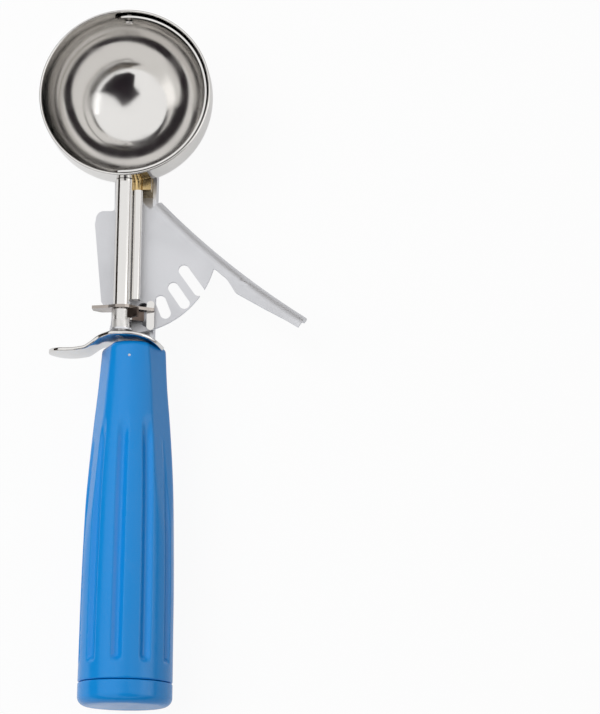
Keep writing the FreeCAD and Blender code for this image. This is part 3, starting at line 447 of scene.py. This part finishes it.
class SCOOP_OT_finishes(bpy.types.Operator):
    """Mix the finishes of steel, brass, spring wire and moulded plastic"""
    bl_idname = "scoop.finishes"
    bl_label = "Mix the finishes"

    def execute(self, context):
        tones = context.scene.scoop_finishes
        GROUPS.update(lines=drawn_lines_group(), handling=handling_group(), tone=tone_group(),
                      hub=hub_group(), dimple=dimple_group())

        for name, (tone, drift, darker, lighter, wear, least, greatest) in METALS.items():
            metal = Finish(name, BELT_STRETCH if name in BELTED else None)
            metal.set(Metallic=1.0)
            metal.tint(metal.plain, getattr(tones, tone), drift, darker, lighter)
            metal.wear(wear, least, greatest)
            if name in BELTED:
                lines = metal.group(GROUPS["lines"], metal.along, Fineness=1100.0, Depth=1.0)
                metal.bump(lines.outputs["Height"], strength=0.06, distance=0.02 * MM)
            if name == "satin_lever":
                dimple = metal.group(GROUPS["dimple"], metal.plain, Middle=DIMPLE_MIDDLE,
                                     Reach=DIMPLE_REACH)
                metal.bump(dimple.outputs["Height"], strength=0.6, distance=0.4 * MM)
            FINISHES[name] = metal.material

        # The pinion's teeth beyond the hub are dark and mottled: painted shade where they sit between the
        # plates
        teeth = Finish("blackened_steel")
        teeth.set(Metallic=1.0)
        hub = teeth.group(GROUPS["hub"], teeth.plain, Radius=HUB_RADIUS,
                          Inside=shade(tones.steel_colour, 1.0), Outside=shade(tones.teeth_shade_colour, 1.0))
        teeth.feed(hub.outputs["Color"], "Base Color")
        teeth.wear(size=300.0, least=0.25, greatest=0.5)
        FINISHES["blackened_steel"] = teeth.material

        plastic = Finish("blue_plastic", MOULD_STRETCH)
        plastic.set(Metallic=0.0, IOR=1.5, Specular_IOR_Level=0.45)
        plastic.tint(plastic.along, tones.grip_colour, size=40.0, darker=0.93, lighter=1.08)
        plastic.wear(size=90.0, least=0.17, greatest=0.26)
        grain = plastic.group(GROUPS["lines"], plastic.plain, Fineness=1500.0, Depth=1.0)
        plastic.bump(grain.outputs["Height"], strength=0.12, distance=0.03 * MM)
        FINISHES["blue_plastic"] = plastic.material
        return {"FINISHED"}


NODE_FINISHES = {
    "polished_steel": ("bowl", "scraper_blade", "shaft_tube", "guide_rail", "sector_guide",
                       "sector_keeper", "finger_rest", "tip_rivet", "scraper_shaft", "pivot_washer"),
    "satin_lever": ("thumb_lever",),
    "satin_steel": ("shank_frame", "handle_tang", "lever_pivot", "handle_pin",
                    "retaining_ring", "spring_anchor"),
    "stained_steel": ("bridge_plate",),
    "blackened_steel": ("pinion",),
    "spring_steel": ("return_spring",),
    "brass": ("bowl_saddle", "lever_bush"),
    "blue_plastic": ("handle_grip", "handle_end_cap"),
}


class SCOOP_OT_dress(bpy.types.Operator):
    """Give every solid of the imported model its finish"""
    bl_idname = "scoop.dress"
    bl_label = "Dress the solids"

    def execute(self, context):
        for finish, names in NODE_FINISHES.items():
            for name in names:
                slots = NODES[name].material_slots
                if not slots:
                    NODES[name].data.materials.append(FINISHES[finish])
                for slot in slots:
                    slot.material = FINISHES[finish]
        return {"FINISHED"}


class SCOOP_OT_bowl(bpy.types.Operator):
    """Spin the polished bowl with its rounded rim.

    Profile, carried round the upright axis: inner quarter circle, straight wall, half circle over the
    rim, straight wall, outer quarter circle.
    """
    bl_idname = "scoop.bowl"
    bl_label = "Bowl"

    def execute(self, context):
        outer = (BOWL_HIGH.x - BOWL_LOW.x) / 2
        wall = 0.8 * MM
        inner = outer - wall
        lip = wall / 2
        top = BOWL_HIGH.z - lip
        arc_count, wall_count, lip_count, columns = 110, 10, 15, 288
        rise = np.linspace(0, top, wall_count)
        profile = np.concatenate([
            arc_points((0, 0), inner, -90, 0, arc_count)[:-1],
            np.stack([np.full(wall_count, inner), rise], -1)[:-1],
            arc_points((inner + lip, top), lip, 180, 0, lip_count)[:-1],
            np.stack([np.full(wall_count, outer), rise[::-1]], -1)[:-1],
            arc_points((0, 0), outer, 0, -90, arc_count),
        ])
        make_piece("bowl_polished", turned(profile, columns), FINISHES["polished_steel"], "body",
                   ("bowl",))
        return {"FINISHED"}


class SCOOP_OT_grip(bpy.types.Operator):
    """Mould the fluted grip: a waisted round profile, cut by flutes and two long neck flats.

    Radius over place along the grip and angle round it: a cubic through the stations, less the flutes'
    depth times h^2 (1.6 - 0.6 h) times a fade along the grip, where h is a parabola across each flute;
    then the lesser of that and two leaning planes, less a quarter ellipse at the nose and a quarter
    circle at the cap.
    """
    bl_idname = "scoop.grip"
    bl_label = "Grip"

    # Places along the grip, from the neck end
    stations = (0.0, 14.0 * MM, 27.0 * MM, 45.0 * MM, 70.0 * MM)
    shoulder_radius, swell_radius = 11.35 * MM, 13.95 * MM
    flute_start, flute_full = 24 * MM, 36 * MM
    flute_level, flute_end = 103.5 * MM, 106 * MM
    # Neck flats: distance from the axis at the neck end, slope toward the butt, blend and least cosine
    flat_distance, flat_slope, flat_blend, least_cosine = 9.05 * MM, 0.087, 0.35 * MM, 0.2
    # Radius of the flat end inside the rounded nose, and rounding at the cap
    nose_flat, edge = 6.5 * MM, 0.6 * MM

    def execute(self, context):
        shape = context.scene.scoop_grip
        edge = self.edge
        start, end = -GRIP_HIGH.y, -GRIP_LOW.y
        length = end - start
        nose_count, body_count, edge_count, columns = 24, 230, 7, 330
        nose_along = shape.nose_length * (1 - np.cos(np.linspace(0, np.pi / 2, nose_count)))
        edge_along = length - edge * (1 - np.sin(np.linspace(0, np.pi / 2, edge_count)))
        along = np.concatenate([nose_along[:-1],
                                np.linspace(shape.nose_length, length - edge, body_count),
                                edge_along[1:]])
        angle = np.linspace(0, 2 * np.pi, columns, endpoint=False)
        radii = (shape.neck_radius, self.shoulder_radius, shape.waist_radius, self.swell_radius,
                 shape.belly_radius, shape.butt_radius)
        radius = eased_curve(self.stations + (length,), radii, along)[:, None] * np.ones_like(angle)

        # Flutes: a rounded hollow that fades in on the shoulder and ends short of the cap
        step = 2 * np.pi / shape.flute_count
        offset = (angle - shape.flute_turn + step / 2) % step - step / 2
        across = np.abs(offset) * radius
        hollow = np.clip(1.0 - (across / shape.flute_half_width) ** 2, 0.0, 1.0)
        hollow = hollow * hollow * (1.6 - 0.6 * hollow)
        fade = (smooth_step(along, self.flute_start, self.flute_full)
                * (1 - smooth_step(along, self.flute_level, self.flute_end)))
        radius = radius - shape.flute_depth * hollow * fade[:, None]

        # Neck flats: planes that lean outward toward the butt, blended into the round
        for side in (-1, 1):
            away = np.cos(angle - side * shape.flat_turn)
            distance = (self.flat_distance + self.flat_slope * along)[:, None]
            plane = distance / np.maximum(away, self.least_cosine)
            radius = soft_min(radius, plane, self.flat_blend)

        # A rounded nose at the neck and a small rounding at the cap, each closed by a point on the axis
        nose = np.clip(1.0 - along / shape.nose_length, 0.0, 1.0)
        ease = (shape.neck_radius - self.nose_flat) * (1.0 - np.sqrt(1.0 - nose ** 2))
        past = np.clip(along - (length - edge), 0, edge)
        ease += edge - np.sqrt(np.clip(edge ** 2 - past ** 2, 0, None))
        radius = radius - ease[:, None]
        x = GRIP_AXIS_X + radius * np.sin(angle)
        z = GRIP_AXIS_Z + radius * np.cos(angle)
        y = np.broadcast_to(-(start + along)[:, None], radius.shape)
        surface = np.stack([x, y, z], -1)
        poles = np.array([[GRIP_AXIS_X, -start, GRIP_AXIS_Z], [GRIP_AXIS_X, -end, GRIP_AXIS_Z]])
        first, last = np.broadcast_to(poles[:, None, None, :], (2, 1, columns, 3))
        surface = np.concatenate([first, surface, last])
        make_piece("grip_moulded", surface, FINISHES["blue_plastic"], "body",
                   ("handle_grip",))
        return {"FINISHED"}


class SCOOP_OT_rivets(bpy.types.Operator):
    """Turn the tip rivet and the lever's pivot rivet with domed heads.

    Profile, carried round the rivet's axis: a quarter ellipse, a short straight side and a flat seat,
    then the shank, and the same three in reverse for the second head.
    """
    bl_idname = "scoop.rivets"
    bl_label = "Rivets"

    # The tip rivet's outer head stands the weld gap off the bowl
    head_depth, weld_gap = 0.8 * MM, 0.02 * MM
    # Radii of the shanks and of the tip rivet's inner head
    tip_shank, tip_button, pivot_shank = 1.2 * MM, 1.76 * MM, 1.5 * MM
    # Rise of the domes, first and second
    tip_domes, pivot_domes = (0.55 * MM, 0.6 * MM), (0.6 * MM, 0.5 * MM)
    dome_count, tip_columns, pivot_columns = 10, 48, 64

    def rivet(self, shank, stations, heads, domes):
        """Profile of (radius, place): a domed head, a shank and a second domed head."""
        first, first_seat, second_seat, second = stations
        bow = np.linspace(0, np.pi / 2, self.dome_count)
        low = np.stack([heads[0] * np.sin(bow), first + domes[0] * (1 - np.cos(bow))], -1)
        high = np.stack([heads[1] * np.sin(bow), second - domes[1] * (1 - np.cos(bow))], -1)[::-1]
        middle = np.array([(heads[0], first_seat), (shank, first_seat), (shank, second_seat),
                           (heads[1], second_seat)])
        return np.concatenate([low, middle, high])

    def execute(self, context):
        low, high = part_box("tip_rivet")
        head = (high.x - low.x) / 2
        stations = (low.y, low.y + self.head_depth, high.y - self.head_depth + self.weld_gap, high.y)
        profile = self.rivet(self.tip_shank, stations, (self.tip_button, head), self.tip_domes)
        ring = turned(profile, self.tip_columns)
        make_piece("tip_rivet_turned", ring[..., [0, 2, 1]], FINISHES["polished_steel"], "body",
                   ("tip_rivet",))
        low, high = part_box("lever_pivot")
        head = (high.x - low.x) / 2
        stations = (low.z, low.z + self.head_depth, high.z - self.head_depth, high.z)
        profile = self.rivet(self.pivot_shank, stations, (head, head), self.pivot_domes)
        middle = np.array([(low.x + high.x) / 2, (low.y + high.y) / 2, 0.0])
        ring = turned(profile, self.pivot_columns) + middle
        make_piece("lever_pivot_turned", ring, FINISHES["satin_steel"], "body",
                   ("lever_pivot",))
        return {"FINISHED"}


class SCOOP_OT_pin(bpy.types.Operator):
    """Turn the pin through the neck: a straight side between two quarter ellipses"""
    bl_idname = "scoop.pin"
    bl_label = "Neck pin"

    def execute(self, context):
        low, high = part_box("handle_pin")
        middle = (low + high) / 2
        radius, head, inset = 0.55 * MM, 0.35 * MM, 0.05 * MM
        dome_count, columns = 8, 40
        length = (high.z - low.z) / 2 - inset
        dome = np.linspace(0, np.pi / 2, dome_count)
        end = np.stack([radius * np.sin(dome), length - head + head * np.cos(dome)], -1)
        profile = np.concatenate([end, end[::-1] * (1, -1)])
        ring = turned(profile, columns)
        make_piece("pin_turned", ring + np.array(middle), FINISHES["satin_steel"], "body",
                   ("handle_pin",))
        return {"FINISHED"}


class SCOOP_OT_cap(bpy.types.Operator):
    """Turn the end cap with its rounded butt.

    Profile, carried round the grip's axis: a butt that bulges by a parabola, a quarter ellipse, a
    straight side, a small quarter circle and a flat top.
    """
    bl_idname = "scoop.cap"
    bl_label = "End cap"

    def execute(self, context):
        radius = (CAP_HIGH.x - CAP_LOW.x) / 2
        butt = CAP_LOW.y
        height, round_out, ease, bulge = 7.6 * MM, 3.2 * MM, 0.35 * MM, 0.25 * MM
        butt_count, round_count, side_count, ease_count, columns = 16, 18, 8, 7, 192
        share = np.linspace(0, 1, butt_count)
        corner = arc_points((radius - round_out, round_out), round_out, -90, 0, round_count)
        corner[:, 1] = bulge + corner[:, 1] * (round_out - bulge) / round_out
        profile = np.concatenate([
            np.stack([(radius - round_out) * share, bulge * share ** 2], -1)[:-1],
            corner,
            np.stack([np.full(side_count, radius),
                      np.linspace(round_out, height - ease, side_count)], -1)[1:],
            arc_points((radius - ease, height - ease), ease, 0, 90, ease_count)[1:],
            [[0.0, height]],
        ])
        ring = turned(profile, columns)
        surface = np.stack([GRIP_AXIS_X + ring[..., 0], butt + ring[..., 2], GRIP_AXIS_Z + ring[..., 1]], -1)
        make_piece("cap_moulded", surface, FINISHES["blue_plastic"], "body",
                   ("handle_end_cap",))
        return {"FINISHED"}


class SCOOP_OT_finger_rest(bpy.types.Operator):
    """Press the finger rest: a bowed plate round the neck that runs out into a tongue on the left.

    A rounded rectangle, the sheet's section, is carried along a line in plan on the line's normal. The
    line is a cubic through its stations. The section's half height is a half circle at the tongue's
    end, then level, then blends into half an ellipse round the neck.
    """
    bl_idname = "scoop.finger_rest"
    bl_label = "Finger rest"

    # Half the sheet's thickness, the rounding of its edge, and the least share of both at the ends
    half_sheet, edge, least_share = 0.6 * MM, 0.45 * MM, 0.02
    # Line in plan in mm: sides after the tongue's end, which is the box's, and places along the handle
    sides = (-14.0, -11.6, -9.6, -7.4, -4.0, 0.6, 6.0, 9.4, 11.5, 13.2)
    alongs = (85.3, 85.25, 84.7, 83.3, 81.8, 81.0, 80.9, 81.2, 82.0, 83.1, 84.3)
    tongue_half = 6.5 * MM
    disc_half, disc_middle, disc_reach = 10.6 * MM, 0.6 * MM, 12.6 * MM
    swell_start, swell_end = -9.5 * MM, -2.0 * MM
    # Middle height at the tongue, and how much lower it is at the neck
    tongue_level, neck_drop = -6.3 * MM, 0.3 * MM

    def execute(self, context):
        low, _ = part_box("finger_rest")
        half_sheet, edge = self.half_sheet, self.edge
        line_count, corner_count = 220, 7
        sides = np.array((low.x / MM,) + self.sides) * MM
        alongs = np.array(self.alongs) * MM
        x = sides[0] + (sides[-1] - sides[0]) * (1 - np.cos(np.linspace(0, np.pi, line_count))) / 2
        along = eased_curve(sides, alongs, x)

        inward = np.clip((sides[0] + self.tongue_half - x) / self.tongue_half, 0, 1)
        tip = np.sqrt(np.clip(1 - inward ** 2, 0, None))
        outward = np.clip((x - self.disc_middle) / self.disc_reach, 0, 1)
        disc = self.disc_half * np.sqrt(np.clip(1 - outward ** 2, 0, None))
        swell = smooth_step(x, self.swell_start, self.swell_end)
        half = self.tongue_half * tip * (1 - swell) + disc * swell
        middle = self.tongue_level - self.neck_drop * swell

        # The section: place across the sheet, side of the middle and lift past the straight part
        corner = np.radians(np.linspace(0, 90, corner_count))
        ring_across, ring_up = [], []
        for quarter, (side, above) in enumerate(((1, 1), (-1, 1), (-1, -1), (1, -1))):
            angle = corner + quarter * np.pi / 2
            ring_across.append(side * (half_sheet - edge) + edge * np.cos(angle))
            ring_up.append(np.stack([np.full(corner_count, above), edge * np.sin(angle)]))
        across = np.concatenate(ring_across)
        above, lift = np.concatenate(ring_up, axis=1)
        height = middle[:, None] + above * np.clip(half[:, None] - edge, 0, None) + lift
        dx, dy = np.gradient(x), np.gradient(-along)
        normal = np.stack([-dy, dx]) / np.hypot(dx, dy)
        thin = np.clip(half / (2 * edge), self.least_share, 1.0)[:, None] * across
        surface = np.stack([x[:, None] + normal[0][:, None] * thin,
                            -along[:, None] + normal[1][:, None] * thin, height], -1)
        ends = [row.mean(1, keepdims=True).repeat(len(across), 1) for row in (surface[:1], surface[-1:])]
        surface = np.concatenate([ends[0], surface, ends[1]])
        make_piece("finger_rest_pressed", surface, FINISHES["polished_steel"], "body",
                   ("finger_rest",))
        return {"FINISHED"}


class SCOOP_OT_stage(bpy.types.Operator):
    """Set the floor, the soft light, the cards that the steel mirrors, and the camera"""
    bl_idname = "scoop.stage"
    bl_label = "Stage"

    floor_reach = 3.0
    lamp_size, lamp_place, lamp_look = 0.8, (-0.45, 0.10, 1.0), (0, -0.08, 0)
    # Share of plain white in what a lens and a mirror see of the floor
    lens_share, mirror_share = 0.94, 0.45
    # Outline of the dark sheet overhead, its height and tones
    sheet = ((1.176, -0.544), (1.02, -0.878), (0.66, -1.29), (0.084, -1.383), (-0.136, -1.177),
             (-0.063, -0.673), (-0.218, -0.416), (0.081, -0.146), (0.233, -0.065), (0.479, -0.306),
             (0.793, -0.442))
    sheet_height = 1.02
    sheet_tones = ((0.045, 0.036, 0.045), (0.06, 0.048, 0.058))
    # Wall all round: radius, middle along Y, height, drop on the lever's side and rise at the back left
    wall_radius, wall_middle, wall_height, wall_drop, wall_rise = 1.25, -0.09, 0.56, 0.40, 0.14
    wall_tones = ((0.040, 0.028, 0.022), (0.54, 0.46, 0.38))
    # Streaks of sheet and wall: stretch, lean toward +X per metre, and where the blend starts and ends
    streak_stretch, streak_lean, streak_start, streak_end = (1.1, 1.1, 9.0), 0.10, 0.44, 0.72
    bright_corners = ((1.15, -0.40, 0.28), (1.15, 0.25, 0.28), (1.0, 0.25, 0.95), (1.0, -0.40, 0.95))
    bright_strength = 1.55
    camera_place = (0.12496, -0.29690, 0.94670)
    camera_look = (0.05807, -0.08620, -0.010)
    camera_roll = math.radians(-0.758)

    def execute(self, context):
        settings = context.scene.scoop_stage
        context.scene.view_settings.view_transform = "Standard"
        self.lay_floor(context.scene)
        self.light_world(context.scene, settings)
        self.hang_lamp(context.scene, settings)
        self.hang_cards()
        self.seat_camera(context.scene, settings)
        return {"FINISHED"}

    def lay_floor(self, scene):
        """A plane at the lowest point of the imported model."""
        reach, level = self.floor_reach, CAD_BOX[0][2]
        mesh = bpy.data.meshes.new("floor")
        mesh.from_pydata([(-reach, -reach, level), (reach, -reach, level), (reach, reach, level),
                          (-reach, reach, level)], [], [(0, 1, 2, 3)])
        floor = bpy.data.objects.new("floor", mesh)
        scene.collection.objects.link(floor)
        mesh.materials.append(self.floor_material())

    def light_world(self, scene, settings):
        """White where a lens, a mirror or glass sees it, and at its own level as light."""
        world = bpy.data.worlds.new("studio")
        scene.world = world
        world.use_nodes = True
        nodes, links = world.node_tree.nodes, world.node_tree.links
        background = nodes["Background"]
        path = nodes.new("ShaderNodeLightPath")
        seen = nodes.new("ShaderNodeMath")
        seen.operation = "MAXIMUM"
        links.new(path.outputs["Is Camera Ray"], seen.inputs[0])
        links.new(path.outputs["Is Glossy Ray"], seen.inputs[1])
        also = nodes.new("ShaderNodeMath")
        also.operation = "MAXIMUM"
        links.new(seen.outputs[0], also.inputs[0])
        links.new(path.outputs["Is Transmission Ray"], also.inputs[1])
        level = nodes.new("ShaderNodeMapRange")
        level.inputs["To Min"].default_value = settings.world_level
        level.inputs["To Max"].default_value = 1.0
        links.new(also.outputs[0], level.inputs["Value"])
        links.new(level.outputs["Result"], background.inputs["Strength"])
        background.inputs["Color"].default_value = (1, 1, 1, 1)

    def hang_lamp(self, scene, settings):
        """A soft lamp from the left that the steel doesn't mirror."""
        lamp = bpy.data.lights.new("softbox", "AREA")
        lamp.shape = "RECTANGLE"
        lamp.size, lamp.size_y = self.lamp_size, self.lamp_size
        lamp.energy = settings.lamp_power
        box = bpy.data.objects.new("softbox", lamp)
        box.location = self.lamp_place
        box.visible_glossy = False
        box.rotation_mode = "QUATERNION"
        box.rotation_quaternion = (box.location - Vector(self.lamp_look)).to_track_quat("Z", "Y")
        scene.collection.objects.link(box)

    def hang_cards(self):
        """Cards that only mirrors see: a dark sheet, a streaked low wall and a bright panel.

        The wall's height over the angle a is a constant, less a smooth step of cos a, so that it is
        lowest on the lever's side, plus a smooth step of cos (a - 2.4), so that it is tallest at the
        back left, plus two small ripples.
        """
        points = [(x, y, self.sheet_height) for x, y in self.sheet]
        self.add_card("card_over", points, [tuple(range(len(points)))],
                      self.card_material("card_over", *self.sheet_tones))
        columns = 144
        angle = np.linspace(0, 2 * np.pi, columns, endpoint=False)
        side = np.stack([self.wall_radius * np.cos(angle),
                         self.wall_radius * np.sin(angle) + self.wall_middle], -1)
        top = (self.wall_height - self.wall_drop * smooth_step(np.cos(angle), 0.80, 0.95)
               + self.wall_rise * smooth_step(np.cos(angle - 2.4), 0.2, 0.8)
               + 0.03 * np.sin(5 * angle) + 0.02 * np.sin(11 * angle + 1.0))
        wall = np.concatenate([np.column_stack([side, np.zeros(columns)]), np.column_stack([side, top])])
        self.add_card("card_round", wall, grid_faces(2, columns).tolist(),
                      self.card_material("card_round", *self.wall_tones))

        bright = bpy.data.materials.new("card_bright")
        bright.use_nodes = True
        sockets = bright.node_tree.nodes["Principled BSDF"].inputs
        sockets["Base Color"].default_value = (0, 0, 0, 1)
        sockets["Emission Color"].default_value = (1, 1, 1, 1)
        sockets["Emission Strength"].default_value = self.bright_strength
        self.add_card("card_bright", self.bright_corners, [(0, 1, 2, 3)], bright)

    def seat_camera(self, scene, settings):
        """A camera that matches the photograph: its place, the point it looks at, and a small roll."""
        camera = bpy.data.cameras.new("camera")
        camera.sensor_fit = "AUTO"
        camera.sensor_width = 36.0
        camera.lens = settings.lens
        camera.clip_start, camera.clip_end = 0.05, 20.0
        seat = bpy.data.objects.new("camera", camera)
        place, roll = Vector(self.camera_place), self.camera_roll
        back = (place - Vector(self.camera_look)).normalized()
        right = Vector((math.sin(roll), math.cos(roll), 0)).cross(back).normalized()
        up = back.cross(right)
        turn = Matrix((right, up, back)).transposed()
        seat.matrix_world = Matrix.Translation(place) @ turn.to_4x4()
        scene.collection.objects.link(seat)
        scene.camera = seat

    def add_card(self, name, points, faces, material):
        """A sheet that neither the lens nor the diffuse light sees."""
        mesh = bpy.data.meshes.new(name)
        mesh.from_pydata([tuple(point) for point in points], [], faces)
        mesh.materials.append(material)
        card = bpy.data.objects.new(name, mesh)
        card.visible_camera = False
        card.visible_diffuse = False
        card.visible_shadow = False
        bpy.context.scene.collection.objects.link(card)

    def card_material(self, name, dark, light):
        """Level streaks between two tones, darker toward the left."""
        material = bpy.data.materials.new(name)
        material.use_nodes = True
        nodes, links = material.node_tree.nodes, material.node_tree.links
        shader = nodes["Principled BSDF"]
        place = nodes.new("ShaderNodeTexCoord")
        stretch = nodes.new("ShaderNodeMapping")
        stretch.inputs["Scale"].default_value = self.streak_stretch
        links.new(place.outputs["Object"], stretch.inputs["Vector"])
        noise = nodes.new("ShaderNodeTexNoise")
        noise.inputs["Scale"].default_value = 1.3
        noise.inputs["Detail"].default_value = 2.0
        links.new(stretch.outputs["Vector"], noise.inputs["Vector"])
        parts = nodes.new("ShaderNodeSeparateXYZ")
        links.new(place.outputs["Object"], parts.inputs["Vector"])
        lean = nodes.new("ShaderNodeMath")
        lean.operation = "MULTIPLY_ADD"
        lean.inputs[1].default_value = self.streak_lean
        links.new(parts.outputs["X"], lean.inputs[0])
        links.new(noise.outputs["Fac"], lean.inputs[2])
        share = nodes.new("ShaderNodeMapRange")
        share.interpolation_type = "SMOOTHSTEP"
        share.inputs["From Min"].default_value = self.streak_start
        share.inputs["From Max"].default_value = self.streak_end
        links.new(lean.outputs[0], share.inputs["Value"])
        mix = nodes.new("ShaderNodeMix")
        mix.data_type = "RGBA"
        mix.inputs[MIX_FIRST].default_value = dark + (1.0,)
        mix.inputs[MIX_SECOND].default_value = light + (1.0,)
        links.new(share.outputs["Result"], mix.inputs["Factor"])
        links.new(mix.outputs[MIX_RESULT], shader.inputs["Base Color"])
        shader.inputs["Roughness"].default_value = 1.0
        shader.inputs["Specular IOR Level"].default_value = 0.0
        return material

    def floor_material(self):
        """Pale matt floor that a lens sees near white, with the object's shadow kept."""
        material = bpy.data.materials.new("pale_floor")
        material.use_nodes = True
        nodes, links = material.node_tree.nodes, material.node_tree.links
        shader = nodes["Principled BSDF"]
        shader.inputs["Roughness"].default_value = 0.9
        shader.inputs["Base Color"].default_value = (0.86, 0.86, 0.86, 1)
        shader.inputs["Specular IOR Level"].default_value = 0.0
        glow = nodes.new("ShaderNodeEmission")
        glow.inputs["Strength"].default_value = 1.0
        mix = nodes.new("ShaderNodeMixShader")
        path = nodes.new("ShaderNodeLightPath")
        mirrored = nodes.new("ShaderNodeMath")
        mirrored.operation = "MULTIPLY"
        mirrored.inputs[1].default_value = self.mirror_share
        links.new(path.outputs["Is Glossy Ray"], mirrored.inputs[0])
        part = nodes.new("ShaderNodeMath")
        part.operation = "MULTIPLY_ADD"
        part.inputs[1].default_value = self.lens_share
        links.new(path.outputs["Is Camera Ray"], part.inputs[0])
        links.new(mirrored.outputs[0], part.inputs[2])
        links.new(part.outputs[0], mix.inputs["Fac"])
        links.new(shader.outputs[0], mix.inputs[1])
        links.new(glow.outputs[0], mix.inputs[2])
        links.new(mix.outputs[0], nodes["Material Output"].inputs["Surface"])
        return material


STEPS = (SCOOP_OT_finishes, SCOOP_OT_dress, SCOOP_OT_bowl, SCOOP_OT_finger_rest, SCOOP_OT_grip,
         SCOOP_OT_rivets, SCOOP_OT_pin, SCOOP_OT_cap, SCOOP_OT_stage)


class SCOOP_PT_panel(bpy.types.Panel):
    """Steps and sizes of the scoop, in the sidebar"""
    bl_idname = "SCOOP_PT_panel"
    bl_label = "Lever ice cream scoop"
    bl_space_type = "VIEW_3D"
    bl_region_type = "UI"
    bl_category = "Scoop"

    def draw(self, context):
        for settings in (context.scene.scoop_finishes, context.scene.scoop_grip, context.scene.scoop_stage):
            column = self.layout.column()
            for name in settings.__annotations__:
                column.prop(settings, name)
        for step in STEPS:
            self.layout.operator(step.bl_idname)


CLASSES = (ScoopFinishes, ScoopGrip, ScoopStage) + STEPS + (SCOOP_PT_panel,)


def register():
    """Register the classes and hang their settings on the scene."""
    for kind in CLASSES:
        bpy.utils.register_class(kind)
    bpy.types.Scene.scoop_finishes = bpy.props.PointerProperty(type=ScoopFinishes)
    bpy.types.Scene.scoop_grip = bpy.props.PointerProperty(type=ScoopGrip)
    bpy.types.Scene.scoop_stage = bpy.props.PointerProperty(type=ScoopStage)


def unregister():
    """Take away what register added."""
    del bpy.types.Scene.scoop_stage
    del bpy.types.Scene.scoop_grip
    del bpy.types.Scene.scoop_finishes
    for kind in reversed(CLASSES):
        bpy.utils.unregister_class(kind)


def main():
    """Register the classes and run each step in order."""
    register()
    bpy.ops.scoop.finishes()
    bpy.ops.scoop.dress()
    bpy.ops.scoop.bowl()
    bpy.ops.scoop.finger_rest()
    bpy.ops.scoop.grip()
    bpy.ops.scoop.rivets()
    bpy.ops.scoop.pin()
    bpy.ops.scoop.cap()
    bpy.ops.scoop.stage()


if __name__ == "__main__":
    main()
